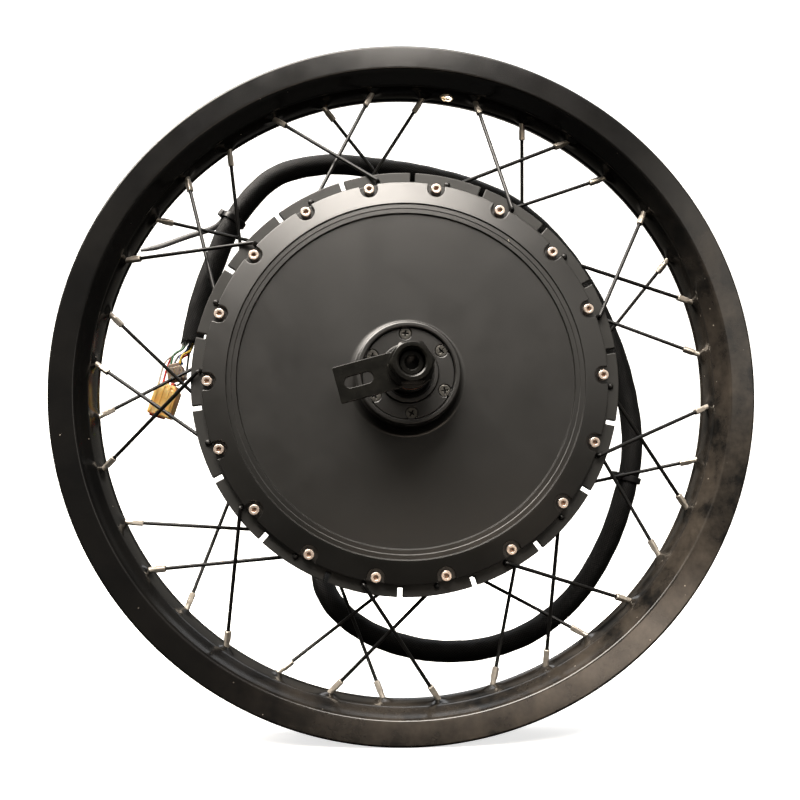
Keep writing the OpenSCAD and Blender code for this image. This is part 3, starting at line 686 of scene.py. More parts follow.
def block(low, high, taper=0.0, bevel=0.8):
    """A closed block with rounded edges between two corners, standing on z."""
    low, high = np.array(low, float), np.array(high, float)
    w, d = (high - low)[:2] / 2
    cx, cy = ((low + high) / 2)[:2]
    outline = soften([(-w, -d), (w, -d), (w, d), (-w, d)], bevel, 4)
    rings = []
    height = high[2] - low[2]
    for z, inset in ((0, bevel), (bevel * 0.3, bevel * 0.3), (bevel, 0), (height - bevel, 0),
                     (height - bevel * 0.3, bevel * 0.3), (height, bevel)):
        share = 1 - taper * z / height
        ring = outline * np.array([(w - inset) / w, (d - inset) / d]) * share
        rings.append(np.column_stack([ring[:, 0] + cx, ring[:, 1] + cy, np.full(len(ring), low[2] + z)]))
    shape = Shape().add(np.concatenate(rings), grid(len(rings), len(outline)))
    last = (len(rings) - 1) * len(outline)
    shape.faces += [list(range(len(outline))), [last + i for i in range(len(outline))]]
    shape.kinds += [0, 0]
    return shape


def turned_block(low, high, turn, about, **more):
    matrix = np.eye(4)
    matrix[:3, :3] = np.array(Matrix.Rotation(math.radians(turn), 3, "Y"))
    about = np.array(about, float)
    matrix[:3, 3] = about - matrix[:3, :3] @ about
    return Shape().join(block(low, high, **more), matrix)


amber_shape = Shape()
middle = (-183, 49.5, -7)
amber_shape.join(turned_block((-192, 42, -19), (-174, 57, 3), 17, middle, bevel=1.4))
for x in (-189.5, -185.2, -180.8, -176.5):
    amber_shape.join(turned_block((x - 0.9, 41.3, -17), (x + 0.9, 57.6, 4.6), 17, middle, bevel=0.5))
amber_shape.join(turned_block((-189, 44, 2), (-177, 55, 6.5), 17, middle, bevel=0.9))
amber_piece = make("amber_connector_body", amber_shape, amber, "axle_side", ("connector_amber",))
red_shape = Shape()
red_shape.join(turned_block((-190, 44, -20.4), (-180, 55.5, -17.5), 17, middle, bevel=0.7))
for x in (-186.5, -180.5):
    red_shape.join(turned_block((x - 1.4, 45, 5.0), (x + 1.4, 53, 8.4), 17, middle, bevel=0.5))
red_piece = make("red_inserts", red_shape, red_insert, "axle_side")
brown_shape = Shape()
about_brown = (-174, 49.5, 14)
brown_shape.join(turned_block((-181, 43.5, 9), (-168, 55.5, 20), -14, about_brown, bevel=1.1, taper=0.12))
brown_shape.join(turned_block((-179, 44.6, 19), (-170, 54.4, 22.5), -14, about_brown, bevel=0.8))
for x in (-178.6, -174.5, -170.4):
    brown_shape.join(turned_block((x - 0.6, 43.1, 10), (x + 0.6, 55.9, 19), -14, about_brown, bevel=0.3))
brown_piece = make("brown_connector_body", brown_shape, brown, "axle_side", ("connector_brown",))

# the ties: a ribbed strap round the cable, a square head and a tail
ties = Shape()
for number, tied in enumerate(TIED):
    before, after = np.array(ROUTE[tied - 1], float), np.array(ROUTE[tied + 1], float)
    stand = aimed(ROUTE[tied], after - before, 200)
    width = 2.3
    inner_r, outer_r = CABLE_D / 2 - 0.15, CABLE_D / 2 + 1.25
    count = 120
    rib = np.where(np.arange(count) % 2 == 0, 0.16, 0.0)
    rows = []
    for r, z in ((inner_r, -width), (outer_r - 0.3, -width), (outer_r, -width + 0.35),
                 (outer_r, width - 0.35), (outer_r - 0.3, width), (inner_r, width)):
        turn = np.linspace(0, 2 * math.pi, count, endpoint=False)
        radius = r - (rib if r == outer_r else 0)
        rows.append(np.column_stack([radius * np.cos(turn), radius * np.sin(turn), np.full(count, z)]))
    strap = Shape().add(np.concatenate(rows), grid(len(rows), count, wrap_rows=True))
    ties.join(strap, stand)
    ties.join(block((CABLE_D / 2 + 0.9, -3.4, -2.9), (CABLE_D / 2 + 6.4, 3.4, 2.9), bevel=0.7), stand)
    ties.join(block((CABLE_D / 2 + 2.0, -4.4, -2.1), (CABLE_D / 2 + 3.6, -2.6, 2.1), bevel=0.3), stand)
    head = stand[:3, :3] @ np.array([CABLE_D / 2 + 3.0, 4.0, 0]) + stand[:3, 3]
    if number == 1:
        tail = spline([head, (-150, 57, 134), (-172, 57, 126), (-192, 56, 118), (-207, 55, 114)], 10)
    else:
        tail = spline([head, head + stand[:3, :3] @ np.array([1.5, 6.0, 0]),
                       head + stand[:3, :3] @ np.array([5.0, 10.5, 1.0])], 8)
    t, u, v = frames_along(tail, first=(0.0, 1.0, 0.0))
    half = np.minimum(2.2, 0.9 + 0.16 * np.arange(len(tail))[::-1])
    corners = [tail + s * v * half[:, None] + q * u * 0.6 for s, q in ((-1, -1), (1, -1), (1, 1), (-1, 1))]
    points = np.stack(corners, axis=1)
    strip = Shape().add(points, grid(len(tail), 4))
    strip.faces += [[0, 1, 2, 3], [(len(tail) - 1) * 4 + i for i in range(4)]]
    strip.kinds += [0, 0]
    ties.join(strip)
tie_piece = make("cable_tie_straps", ties, tie_nylon, "axle_side", ("cable_ties",))

# the ribbed strain relief on the axle's end
relief_profile = [(8.8, 118.1), (11.5, 118.1), (11.5, 123.6), (11.1, 124.4)]
for i in range(5):
    a = 125.2 + 2.7 * i
    r = 11.0 - 0.2 * i
    relief_profile += [(r - 0.9, a), (r - 0.9, a + 0.8), (r, a + 1.2), (r - 0.05, a + 2.2)]
relief_profile += [(9.75, 139.2), (9.5, 140.0), (8.75, 140.0)]
relief = make("cable_strain_relief", lathe(soften(relief_profile, 0.35, 2), 96, side=-1), rubber,
              "axle_side", ("strain_relief",))


# ---------------------------------------------------------------- rim
def rim_angle(k):
    return RIM_HOLE_FIRST + RIM_HOLE_STEP * k


def side_of(k):
    return 1 if k % 2 == 0 else -1


def outside(k):
    return k % 4 < 2


def hub_angle(k):
    return rim_angle(k) + (18 if outside(k) else -22)


def spoke_ends(k):
    """The elbow, the head's place and the rim's place of a spoke."""
    mid = FLANGE_OUT - FLANGE_T / 2
    gap = 2.7 if outside(k) else 0.2
    run = side_of(k) * (mid + (1 if outside(k) else -1) * (FLANGE_T / 2 + SPOKE_D / 2 + gap))
    head = side_of(k) * (mid - (1 if outside(k) else -1) * FLANGE_T / 2)
    return (at(SPOKE_HOLE_R, hub_angle(k), run), at(SPOKE_HOLE_R, hub_angle(k), head),
            at(BED_R, rim_angle(k), side_of(k) * SPOKE_SIDE))


def rim_clocks():
    out = []
    for k in range(36):
        centre = rim_angle(k)
        out += [centre + t for t in np.linspace(-2.6, 2.6, 15)]
        out += [centre + t for t in np.linspace(2.6, 7.4, 6)[1:-1]]
    return np.array(out)


def rim_profile():
    inner_half = [(221.0, 9.6, 2), (221.1, 12.6, 2.2), (222.7, 16.2, 2.4), (224.6, 20.2, 2.4),
                  (226.5, 25.5, 1.0), (227.6, 27.0, 0.9), (243.4, 27.0, 0.6),
                  (245.0, 25.4, 0.9), (244.4, 23.6, 0.8), (236.0, 23.5, 1.0), (231.1, 23.3, 0.6),
                  (230.2, 22.0, 0.6), (230.0, 18.6, 0.9), (226.4, 14.6, 1.2), (224.6, 11.6, 1.2),
                  (224.5, 8.0, 0)]
    near = soften(inner_half, 0.6, 3, closed=False)
    bed_in = [(BED_R, a) for a in np.linspace(-8.6, 8.6, 17)]
    bed_out = [(224.5, a) for a in np.linspace(7.2, -7.2, 15)]
    far = near[::-1] * np.array([1, -1])
    return np.array(bed_in + near.tolist() + bed_out + far.tolist())


def build_rim():
    profile, clocks = rim_profile(), rim_clocks()
    r = np.broadcast_to(profile[None, :, 0], (len(clocks), len(profile))).copy()
    a = np.broadcast_to(profile[None, :, 1], r.shape)
    c = np.broadcast_to(clocks[:, None], r.shape)
    wall = r < 225.0
    for k in range(36):
        turn = (c - rim_angle(k) + 180) % 360 - 180
        distance = np.hypot(np.radians(turn) * BED_R, a - side_of(k) * SPOKE_SIDE)
        rise = np.clip(1 - distance / 9.0, 0, 1)
        r = r - np.where(wall, 2.1 * rise * rise * (3 - 2 * rise), 0)
    r = r + np.where(r < 222, 0.02 * a * a * (np.abs(a) < 12) * 0.4, 0)
    points = at(r, clocks[:, None], a)
    return Shape().add(points, grid(len(clocks), len(profile), True, True))


rim = make("rim_body", build_rim(), [rim_paint, bare_alloy], "wheel", ("rim",), turned=True)
cutter_shape = local_lathe([(0.0, -8), (VALVE_R, -8), (VALVE_R, 8), (0.0, 8)], 40)
cutter_way = at(1, VALVE_TURN, 0)
cutter = bpy.data.meshes.new("valve_cutter")
cutter_at = at(222.5, VALVE_TURN, 0)
points = cutter_shape.all_points() @ aimed(cutter_at, cutter_way)[:3, :3].T + cutter_at
turn = math.radians(WHEEL_TURN)
points = points @ np.array([[math.cos(turn), 0, math.sin(turn)], [0, 1, 0],
                            [-math.sin(turn), 0, math.cos(turn)]]).T
cutter.from_pydata((points * MM).tolist(), [], cutter_shape.faces)
cutter.materials.append(rim_paint)
cutter.materials.append(bare_alloy)
bm = bmesh.new()
bm.from_mesh(cutter)
bmesh.ops.remove_doubles(bm, verts=bm.verts, dist=1e-6)
bmesh.ops.recalc_face_normals(bm, faces=bm.faces)
for face in bm.faces:
    face.material_index = 1
bm.to_mesh(cutter)
bm.free()
cutter_object = bpy.data.objects.new("valve_cutter", cutter)
scene.collection.objects.link(cutter_object)
cut = rim.modifiers.new("valve_hole", "BOOLEAN")
cut.operation = "DIFFERENCE"
cut.solver = "EXACT"
cut.object = cutter_object
while rim.modifiers[0].name != "valve_hole":
    rim.modifiers.move(len(rim.modifiers) - 1, 0)
bpy.context.view_layer.update()
rim.modifiers["even_shading"].show_viewport = False
drilled = bpy.data.meshes.new_from_object(rim.evaluated_get(bpy.context.evaluated_depsgraph_get()))
rim.modifiers.remove(rim.modifiers["valve_hole"])
rim.modifiers["even_shading"].show_viewport = True
rim.data = drilled
bpy.data.objects.remove(cutter_object)
for polygon in rim.data.polygons:
    polygon.use_smooth = True

# the bare lip round the valve hole
lip_profile = soften([(4.15, -0.2), (4.15, -1.3), (5.3, -0.25), (5.2, 0.05)], 0.15, 2)
lip = Shape().join(local_lathe(lip_profile, 48, closed=True), aimed(at(BED_R, VALVE_TURN, 0), cutter_way))
make("valve_hole_lip", lip, bare_alloy, "wheel", turned=True)


# ---------------------------------------------------------------- spokes and nipples
def spoke_shape(k):
    elbow, head, rim_place = spoke_ends(k)
    way = unit(rim_place - elbow)
    leg = unit(elbow - head)
    length = np.linalg.norm(rim_place - elbow)
    cut = 1.6
    line = [head - leg * 0.3, head + leg * 1.0]
    a, b = elbow - leg * cut, elbow + way * cut
    line += [(1 - t) ** 2 * a + 2 * t * (1 - t) * elbow + t * t * b for t in np.linspace(0, 1, 9)]
    line += [elbow + way * s for s in np.linspace(4, length - 1.0, 9)]
    shape = tube(line, SPOKE_D / 2, 18, first=np.cross(way, leg))
    dome = [(0.0, -2.1), (0.8, -2.0), (1.5, -1.7), (2.0, -1.15), (2.15, -0.6), (2.1, -0.15), (1.3, 0.05)]
    return shape.join(local_lathe(dome, 20), aimed(head, leg))


def nipple_shape(k):
    elbow, _, rim_place = spoke_ends(k)
    way = unit(rim_place - elbow)
    count = 40
    turn = np.linspace(0, 2 * math.pi, count, endpoint=False)
    square = 1.0 / np.maximum(np.abs(np.cos(turn)), np.abs(np.sin(turn)))
    square = np.minimum(square, 1.22)
    rings = []
    end = -NIPPLE_LEN
    for z, r, share in ((end + 0.05, 1.35, 0), (end, 1.6, 0.3), (end + 0.2, 1.95, 0.8),
                        (end + 0.6, 2.08, 1), (-6.4, 2.08, 1), (-5.9, 2.0, 0.8), (-5.2, 1.92, 0.3),
                        (-4.6, 1.92, 0),
                        (0.5, 1.95, 0), (6.6, 1.95, 0), (6.9, 3.1, 0), (8.3, 3.2, 0), (8.8, 2.6, 0),
                        (8.8, 1.4, 0)):
        radius = r * (1 + share * (square - 1) * 0.9) * (1 - 0.03 * share)
        rings.append(np.column_stack([radius * np.cos(turn), radius * np.sin(turn), np.full(count, z)]))
    shape = Shape().add(np.concatenate(rings), grid(len(rings), count))
    shape.faces.append([(len(rings) - 1) * count + i for i in range(count)])
    shape.kinds.append(0)
    shape.faces.append(list(range(count)))
    shape.kinds.append(0)
    return Shape().join(shape, aimed(rim_place, way, 37 * k % 90))


for near in (True, False):
    for out in (True, False):
        chosen = [k for k in range(36) if (side_of(k) > 0) == near and outside(k) == out]
        spokes = Shape()
        for k in chosen:
            spokes.join(spoke_shape(k))
        label = ("near" if near else "far") + "_" + ("outer" if out else "inner")
        make("spoke_set_" + label, spokes, spoke_black, "wheel", ("spokes_" + label,),
             turned=True, merge=0)
    nipples = Shape()
    for k in [k for k in range(36) if (side_of(k) > 0) == near]:
        nipples.join(nipple_shape(k))
    label = "near" if near else "far"
    make("nipple_set_" + label, nipples, nickel, "wheel", ("nipples_" + label,),
         turned=True, merge=0)


# ---------------------------------------------------------------- hub shell
def slotted_circle(radius, depth, width, first, count, per_arc=28, corner=0.5):
    """A circle with square-bottomed slots, as one loop."""
    loop = []
    step = 360 / count
    half = width / 2
    edge = math.degrees(math.asin(half / radius))
    for i in range(count):
        turn = first + i * step
        top = math.sqrt(radius ** 2 - half ** 2)
        floor = radius - depth
        sides = [(-half, top), (-half, floor), (half, floor), (half, top)]
        lead = math.radians(edge + 0.6)
        before = (-radius * math.sin(lead), radius * math.cos(lead))
        after = (-before[0], before[1])
        ring = soften([before, *sides, after], corner, 3, closed=False)
        loop.append(clockwise(ring, turn))
        arc = np.linspace(turn + edge + 0.6, turn + step - edge - 0.6, per_arc)[1:-1]
        loop.append(np.stack([radius * np.sin(np.radians(arc)), radius * np.cos(np.radians(arc))], -1))
    return np.concatenate(loop)


shell = Shape()
for side in (1, -1):
    outline = slotted_circle(FLANGE_R, 6.5, 3.4, 3 if side > 0 else 13, 18)
    holes = [circle(127.2, 360)]
    holes += [circle(1.5, 16, (SPOKE_HOLE_R * math.sin(math.radians(hub_angle(k))),
                               SPOKE_HOLE_R * math.cos(math.radians(hub_angle(k)))))
              for k in range(36) if side_of(k) == side]
    low, high = sorted((side * (FLANGE_OUT - FLANGE_T), side * FLANGE_OUT))
    shell.join(plate(outline, holes, low, high, bevel=0.55, steps=3))
barrel = [(127.2, -32.6, 0), (136.0, -32.6, 0), (139.8, -28.05, 0), (137.2, -27.9, 2.0), (137.2, 27.9, 2.0),
          (139.8, 28.05, 0), (136.0, 32.6, 0), (127.2, 32.6, 0)]
shell.join(lathe(soften(barrel, 0, 6), 360))
make("hub_shell", shell, shell_paint, "wheel", ("rotor_shell",), turned=True)


# ---------------------------------------------------------------- covers
def pocket_walls(turn, radius=6.0):
    """One bolt pocket of the cover's edge, from its left end on the rim to its right end."""
    top = math.sqrt(COVER_R ** 2 - radius ** 2)
    bottom = [(-radius * math.cos(t), BOLT_R - radius * math.sin(t)) for t in np.linspace(0, math.pi, 26)]
    lip = 1.0
    e = math.degrees(math.asin(radius / COVER_R))
    arc = math.degrees(lip / COVER_R)
    left = (COVER_R * math.sin(math.radians(-e - arc)), COVER_R * math.cos(math.radians(e + arc)))
    corner_l = soften([left, (-radius, top), (-radius, top - lip)], 0.8, 4, closed=False)
    corner_r = corner_l[::-1] * np.array([-1, 1])
    return clockwise(np.concatenate([corner_l, bottom, corner_r]), turn), e + arc


def band_top(points):
    r = np.hypot(points[:, 0], points[:, 1])
    return COVER_OUT - BAND_DROP * np.clip((r - 122.0) / (COVER_R - 122.0), 0, 1)


def cover_band():
    loop = []
    for i in range(18):
        turn = BOLT_FIRST + BOLT_STEP * i
        walls, edge = pocket_walls(turn)
        loop.append(walls)
        arc = np.linspace(turn + edge, turn + BOLT_STEP - edge, 30)[1:-1]
        loop.append(np.stack([COVER_R * np.sin(np.radians(arc)), COVER_R * np.cos(np.radians(arc))], -1))
    outline = np.concatenate(loop)
    rings = []
    for r in (124.5, 127.2, 130.0, 133.0, 135.6):
        for clock in np.arange(0, 360, 1.0):
            off = abs((clock - BOLT_FIRST + 10) % 20 - 10)
            if r < 127.5 or math.radians(off) * r > 7.2:
                rings.append((r * math.sin(math.radians(clock)), r * math.cos(math.radians(clock))))
    inner_loop = circle(122.0, 360)
    band = plate(outline, [inner_loop], FLANGE_OUT + 0.05, band_top, bevel=0.4, steps=3, extra=rings,
                 bare=(0,))
    for i in range(18):
        turn = BOLT_FIRST + BOLT_STEP * i
        walls, edge = pocket_walls(turn, 6.4)
        arc = np.linspace(turn + edge, turn - edge, 14)[1:-1]
        rim_arc = np.stack([137.7 * np.sin(np.radians(arc)), 137.7 * np.cos(np.radians(arc))], -1)
        band.join(plate(np.concatenate([walls * (137.7 / 138), rim_arc]), [], FLANGE_OUT + 0.05,
                        COVER_OUT - POCKET, bevel=0.15, steps=2))
    return band


def face_profile(tail):
    return soften([(122.0, 41.0, 0), (121.8, 40.95, 0.1), (121.25, 40.05, 0.12), (118.35, 40.28, 0.1),
                   (117.9, 39.92, 0.1), (114.95, 40.08, 0.18), (114.35, 38.8, 0.15), (80, 38.8, 0),
                   (39.4, 38.8, 1.2), (36.4, 40.2, 1.2), (34.5, 44.0, 1.0), *tail], 0.3, 4, closed=False)


near_tail = [(34.5, 62.9, 0.8), (33.3, 64.0, 0.6), (31.2, 64.0, 0.2), (30.45, 63.3, 0.2),
             (30.4, 58.95, 0.2), (22, 58.95), (22, 49.05), (26.02, 49.05), (26.02, 31.5), (118, 31.5),
             (118, 30), (126.9, 30), (126.9, 33.05), (123, 33.05, 0)]
far_tail = [(34.5, 59.0, 0.6), (33.5, 60.0, 0.4), (17.6, 60.0, 0.2), (17.5, 61.6, 0.2), (17.0, 62.0, 0.2),
            (16.75, 61.9, 0.1), (16.6, 49.05, 0.2), (26.02, 49.05), (26.02, 31.5), (118, 31.5), (118, 30),
            (126.9, 30), (126.9, 33.05), (123, 33.05, 0)]


def mirrored(shape):
    flipped = Shape()
    flipped.add(shape.all_points() * np.array([1, -1, 1]), shape.faces)
    flipped.kinds = list(shape.kinds)
    return flipped


band = cover_band()
near_cover = Shape().join(band).join(lathe(face_profile(near_tail), 360, closed=False))

# a small nick in the step round the cover's face
nick_clock = 36.3 + 1.2
make("cover_near_face", near_cover, cover_paint, "wheel", ("cover_near",), turned=True)

far_cover = Shape().join(band).join(lathe(face_profile(far_tail[:2]), 360, closed=False))
ring_holes = [circle(2.1, 24, (22 * math.sin(turn), 22 * math.cos(turn)))
              for turn in (math.radians(25 + 60 * i) for i in range(6))]
far_cover.join(plate(circle(33.6, 180), [circle(17.6, 90)] + ring_holes, 51, 60.0, bevel=0.3, steps=2))
far_cover.join(lathe(soften([(17.7, 59.5, 0), (17.6, 61.6, 0.3), (17.1, 62.0, 0.2), (16.7, 61.8, 0.1),
                             (16.6, 49.05, 0)], 0.2, 3, closed=False), 120, closed=False))
far_cover.join(lathe(soften(far_tail[7:], 0.3, 3, closed=False), 360, closed=False))
make("cover_far_face", mirrored(far_cover), cover_paint, "wheel", ("cover_far",), turned=True)

nick = Shape().join(block((-0.9, -0.25, -0.5), (0.9, 0.25, 0.25), bevel=0.12),
                    aimed(at(118.9, nick_clock, 40.25), (0, -1, 0), 30))
make("cover_nick", nick, bare_alloy, "wheel", turned=True)


# ---------------------------------------------------------------- cover bolts
def socket_bolt():
    seat = COVER_OUT - POCKET + 0.05
    knurl = circle(3.5, 72)
    knurl = knurl * (1 - 0.018 * (np.arange(72) % 2))[:, None]
    head = plate(knurl, [circle(1.73, 6)], seat, seat + 4.0, bevel=0.38, steps=3)
    # the socket floor takes the darker socket finish: painted shade in the recess
    floor = plate(circle(1.9, 6), [], seat + 1.2, seat + 1.9, bevel=0.05, steps=1, kind=1)
    head.join(floor)
    shank = [(0.0, seat + 0.2), (1.95, seat + 0.2), (1.95, seat - 11.2), (1.2, seat - 12), (0.0, seat - 12)]
    head.join(lathe(shank, 24, closed=False))
    return head


bolts = Shape()
one = socket_bolt()
for i in range(18):
    clock = BOLT_FIRST + BOLT_STEP * i
    spin = (i * 47) % 60
    points = one.all_points()
    flat_points = clockwise(points[:, [0, 2]], spin)
    shift = at(BOLT_R, clock, 0)
    placed = np.column_stack([flat_points[:, 0] + shift[0], points[:, 1], flat_points[:, 1] + shift[2]])
    bolts.join(Shape().add(placed, one.faces))
    bolts.kinds[-len(one.kinds):] = one.kinds
make("cover_bolt_set_near", bolts, [bolt_steel, socket_painted_shade], "wheel", ("cover_bolts_near",),
     turned=True)
far_bolts = mirrored(bolts)
make("cover_bolt_set_far", far_bolts, [bolt_steel, socket_painted_shade], "wheel", ("cover_bolts_far",),
     turned=True)


# ---------------------------------------------------------------- near cap and its screws
CAP = 61.5
screw_clocks = [-3.2 + 60 * i for i in range(6)]
screw_places = [(26.2 * math.sin(math.radians(c)), 26.2 * math.cos(math.radians(c))) for c in screw_clocks]
cap = plate(circle(30.0, 240), [circle(19.8, 160)] + [circle(4.2, 40, p) for p in screw_places],
            CAP - 2.5, CAP, bevel=0.4, steps=3)
cap.join(lathe(soften([(20.3, CAP - 0.3, 0), (20.0, CAP + 0.4, 0.3), (19.5, CAP + 1.7, 0.3),
                       (19.2, CAP + 2.0, 0.2), (16.8, CAP + 2.0, 0.2), (16.6, CAP + 1.6, 0.1),
                       (16.6, CAP - 2.5, 0), (20.3, CAP - 2.5, 0)], 0.3, 3), 160))
for p in screw_places:
    cone = lathe([(2.1, CAP - 2.1), (2.2, CAP - 2.1), (4.3, CAP - 0.1), (4.3, CAP - 0.4)], 40, closed=False)
    points = cone.all_points() + np.array([p[0], 0, p[1]])
    cap.add(points, cone.faces)
make("cap_plate", cap, cover_paint, "wheel", ("cap_near",), turned=True)

screws = Shape()
for number, p in enumerate(screw_places):
    w, l = 0.55, 2.3
    cross = [(w, w), (l, w * 0.8), (l, -w * 0.8), (w, -w), (w * 0.8, -l), (-w * 0.8, -l), (-w, -w),
             (-l, -w * 0.8), (-l, w * 0.8), (-w, w), (-w * 0.8, l), (w * 0.8, l)]
    cross = clockwise(soften(cross, 0.15, 2), (number * 37 + 8) % 90)
    head = plate(circle(3.7, 48), [cross], CAP - 1.6, CAP - 0.1, bevel=0.12, steps=2, support=0.12)
    # the floor of the cross recess takes the near-black rubber finish: painted shade at the bottom of the
    # recess
    head.join(plate(circle(2.9, 32), [], CAP - 2.0, CAP - 1.3, bevel=0.1, steps=1, kind=1))
    points = head.all_points() + np.array([p[0], 0, p[1]])
    screws.add(points, head.faces)
    screws.kinds[-len(head.kinds):] = head.kinds
make("cap_screw_set", screws, [screw_steel, rubber], "wheel", ("cap_screws",), turned=True)


# ---------------------------------------------------------------- axle, arm, nuts and washers
def thread(radius, pitch, low, high, depth=0.75, clocks=96, side=1, inside_out=1):
    """A helical thread as a grid; depth is cut inwards, or outwards for a nut."""
    rows = int((high - low) / pitch * 8) + 1
    out = np.linspace(low, high, rows)[:, None]
    clock = np.linspace(0, 360, clocks, endpoint=False)[None, :]
    phase = (out / pitch + clock / 360) % 1.0
    groove = np.clip(1.6 * np.abs(phase - 0.5) * 2 - 0.3, 0, 1)
    fade = np.clip(np.minimum(out - low, high - out) / 0.8, 0, 1)
    r = radius - inside_out * depth * (1 - groove) * fade
    return Shape().add(at(r, clock, side * out), grid(rows, clocks))


axle = Shape()
for side, end, bore, depth in ((1, 106.0, 4.1, 30.0), (-1, 118.0, 5.0, 40.0)):
    axle.join(thread(8.0, 1.5, 94.0, end - 1.0, side=side))
    ends = soften([(8.0, end - 1.05, 0), (7.0, end, 0.15), (bore + 0.6, end, 0.15), (bore, end - 0.7, 0.1),
                   (bore, end - depth, 0.2), (0.0, end - depth - 1.2, 0)], 0.2, 3, closed=False)
    axle.join(lathe(ends, 96, closed=False, side=side))
    neck = circle(8.0, 120)
    rotated = clockwise(neck, ARM_TURN)
    rotated[:, 1] = np.clip(rotated[:, 1], -5.5, 5.5)
    low, high = sorted((side * 85.8, side * 94.2))
    axle.join(plate(clockwise(rotated, -ARM_TURN), [], low, high, bevel=0.12, steps=2))
    axle.join(lathe(soften([(12.46, 49.0, 0), (12.46, 85.6, 0.5), (8.0, 86.0, 0.2)], 0.3, 3, closed=False),
                    96, closed=False, side=side))
axle.join(lathe([(12.46, -49.0), (12.46, -33.5), (15.0, -33.4), (15.0, 33.4), (12.46, 33.5), (12.46, 49.0)],
                96, closed=False))
make("axle_shaft", axle, black_oxide, "axle_side", ("axle",))

for label, side in (("near", 1), ("far", -1)):
    sleeve_profile = soften([(12.5, 49.2), (14.0, 49.2), (14.0, 84.9, 0.4), (13.2, 86.0, 0.4), (12.5, 86.0)],
                            0.25, 3)
    make("spacer_sleeve_" + label, lathe(sleeve_profile, 128, side=side), black_oxide, "axle_side",
         ("spacer_" + label,))

    washer = soften([(8.35, 93.05), (14.5, 93.05), (14.5, 95.95), (8.35, 95.95)], 0.5, 3)
    make("flat_washer_" + label, lathe(washer, 128, side=side), black_oxide, "axle_side",
         ("washer_" + label,))


def nut_shape(spin):
    count = 240
    turn = np.linspace(0, 2 * math.pi, count, endpoint=False)
    flat = 12.0
    folded = (turn + math.radians(spin)) % (math.pi / 3) - math.pi / 6
    hexagon = np.minimum(flat / np.cos(folded), 13.62)
    low, high = 96.0, 112.0
    slope = 0.62
    rings = []

    def ring(radius, height):
        radius = radius + np.zeros(count)
        out = -(height + np.zeros(count))
        rings.append(np.column_stack([radius * np.cos(turn), out, radius * np.sin(turn)]))

    ring(8.15, low + 0.05)
    ring(11.5, low + 0.05)
    base = 11.7
    ring(np.minimum(hexagon, base), low + 0.12)
    ring(hexagon - 0.05, low + 0.3 + (hexagon - base) * slope)
    ring(hexagon, low + 0.6 + (hexagon - base) * slope)
    ring(hexagon, high - 0.6 - (hexagon - base) * slope)
    ring(hexagon - 0.08, high - 0.35 - (hexagon - base) * slope)
    ring(base + 0.12, high - 0.22)
    ring(base - 0.12, high)
    ring(9.5, high)
    ring(9.3, high - 0.06)
    ring(8.1, high - 1.25)
    shape = Shape().add(np.concatenate(rings), grid(len(rings), count))
    inner_thread = thread(8.05, 1.5, 97.0, 110.9, depth=0.5, inside_out=-1)
    shape.join(inner_thread)
    return shape


make("axle_nut_hex_near", nut_shape(NEAR_NUT_TURN), black_oxide, "axle_side",
     ("axle_nut_near",))
make("axle_nut_hex_far", mirrored(nut_shape(0)), black_oxide, "axle_side", ("axle_nut_far",))

arm_outline = soften([(-47, -11.5, 0.9), (11, -11.5, 1.2), (11, 11.5, 1.2), (-47, 11.5, 0.9)], 1.0, 5)
slot_loop = np.concatenate([
    [(-38.5 - 3.6 * math.sin(t), 3.6 * math.cos(t)) for t in np.linspace(0, math.pi, 18)],
    [(-27.5 + 3.6 * math.sin(t), -3.6 * math.cos(t)) for t in np.linspace(0, math.pi, 18)]])
axle_loop = circle(8.2, 96)
axle_loop[:, 1] = np.clip(axle_loop[:, 1], -5.65, 5.65)
arm_holes = [clockwise(slot_loop, -ARM_TURN), clockwise(axle_loop, -ARM_TURN)]
arm = plate(clockwise(arm_outline, -ARM_TURN), arm_holes, 89.0, 93.0, bevel=0.35, steps=3)
make("torque_arm_plate", arm, black_oxide, "axle_side", ("torque_arm",))

lock = soften([(8.35, 86.1), (14.0, 86.1), (14.0, 88.9), (8.35, 88.9)], 0.5, 3)
make("copper_lock_washer", lathe(lock, 128), copper, "axle_side", ("copper_washer",))


# ---------------------------------------------------------------- floor, backdrop and light
floor_material = bpy.data.materials.new("pale_floor")
tree, nodes, links, shader = links_of(floor_material)
shader.inputs["Base Color"].default_value = (0.86, 0.86, 0.85, 1)
shader.inputs["Roughness"].default_value = 0.9
shader.inputs["Emission Color"].default_value = (1, 1, 1, 1)
shader.inputs["Emission Strength"].default_value = 0.72
sweep = [(-1.6, 0.0), (0.4, 0.0), (1.6, 0.0)]
sweep += [(1.6 + 1.2 * math.sin(t), 1.2 - 1.2 * math.cos(t)) for t in np.linspace(0.1, math.pi / 2, 14)]
sweep += [(2.8, 3.5)]
floor_points, floor_faces = [], []
for x in (-4.0, 4.0):
    floor_points += [(x, y, cad_box[0][2] + z) for y, z in sweep]
n = len(sweep)
floor_faces = [(i, i + 1, n + i + 1, n + i) for i in range(n - 1)]
floor_mesh = bpy.data.meshes.new("studio_floor")
floor_mesh.from_pydata(floor_points, [], floor_faces)
floor_mesh.materials.append(floor_material)
for polygon in floor_mesh.polygons:
    polygon.use_smooth = True
floor = bpy.data.objects.new("studio_floor", floor_mesh)
scene.collection.objects.link(floor)
floor.visible_glossy = False
floor.visible_diffuse = False

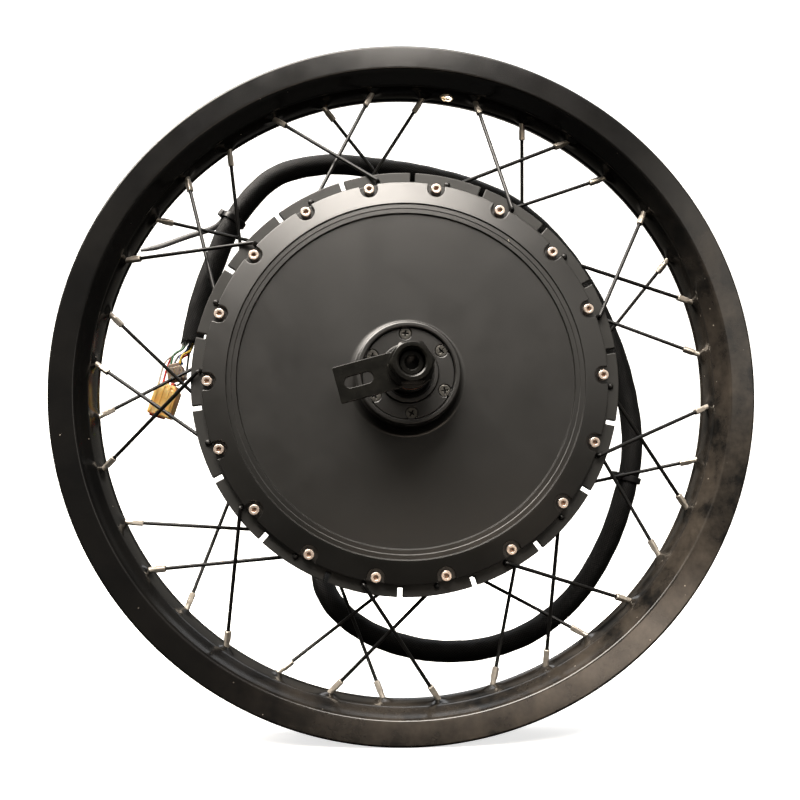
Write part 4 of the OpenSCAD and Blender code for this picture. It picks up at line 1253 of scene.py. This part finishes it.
world = bpy.data.worlds.new("studio")
scene.world = world
world.use_nodes = True
w_nodes, w_links = world.node_tree.nodes, world.node_tree.links
background = w_nodes["Background"]
direction = w_nodes.new("ShaderNodeTexCoord").outputs["Generated"]
split = w_nodes.new("ShaderNodeSeparateXYZ")
w_links.new(direction, split.inputs[0])
sky = w_nodes.new("ShaderNodeValToRGB")
sky.color_ramp.elements[0].position = 0.30
sky.color_ramp.elements[0].color = (0.008, 0.0065, 0.005, 1)
sky.color_ramp.elements[1].position = 0.95
sky.color_ramp.elements[1].color = (0.42, 0.40, 0.37, 1)
middle_tone = sky.color_ramp.elements.new(0.52)
middle_tone.color = (0.10, 0.092, 0.078, 1)
half = w_nodes.new("ShaderNodeMath")
half.operation = "MULTIPLY_ADD"
half.inputs[1].default_value = 0.5
half.inputs[2].default_value = 0.5
w_links.new(split.outputs["Z"], half.inputs[0])
w_links.new(half.outputs[0], sky.inputs["Fac"])
light_path = w_nodes.new("ShaderNodeLightPath")
white = w_nodes.new("ShaderNodeMix")
white.data_type = "RGBA"
w_links.new(light_path.outputs["Is Camera Ray"], white.inputs["Factor"])
w_links.new(sky.outputs["Color"], white.inputs[6])
white.inputs[7].default_value = (1, 1, 1, 1)
w_links.new(white.outputs[2], background.inputs["Color"])
background.inputs["Strength"].default_value = 1.0


def softbox(name, place, aim, width, height, watts, colour=(1, 1, 1)):
    data = bpy.data.lights.new(name, "AREA")
    data.shape = "RECTANGLE"
    data.size, data.size_y = width, height
    data.energy = watts
    data.color = colour
    lamp = bpy.data.objects.new(name, data)
    scene.collection.objects.link(lamp)
    lamp.location = place
    lamp.rotation_mode = "QUATERNION"
    lamp.rotation_quaternion = (Vector(aim) - Vector(place)).to_track_quat("-Z", "Y")
    return lamp


softbox("overhead", (-0.75, -0.82, 1.80), (0, 0, 0), 3.3, 1.1, 300, (1.0, 0.93, 0.85))
softbox("back_top", (0.2, 1.2, 1.8), (0, 0, 0), 2.0, 1.2, 20, (0.95, 0.97, 1.0))
softbox("right_front", (1.25, -1.7, 0.55), (0, 0, -0.05), 0.9, 0.8, 4, (1.0, 0.93, 0.84))
softbox("low_front", (0.42, -1.9, -0.48), (0.05, 0, -0.15), 1.1, 0.30, 8, (1.0, 0.82, 0.66))

scene.view_settings.view_transform = "Standard"
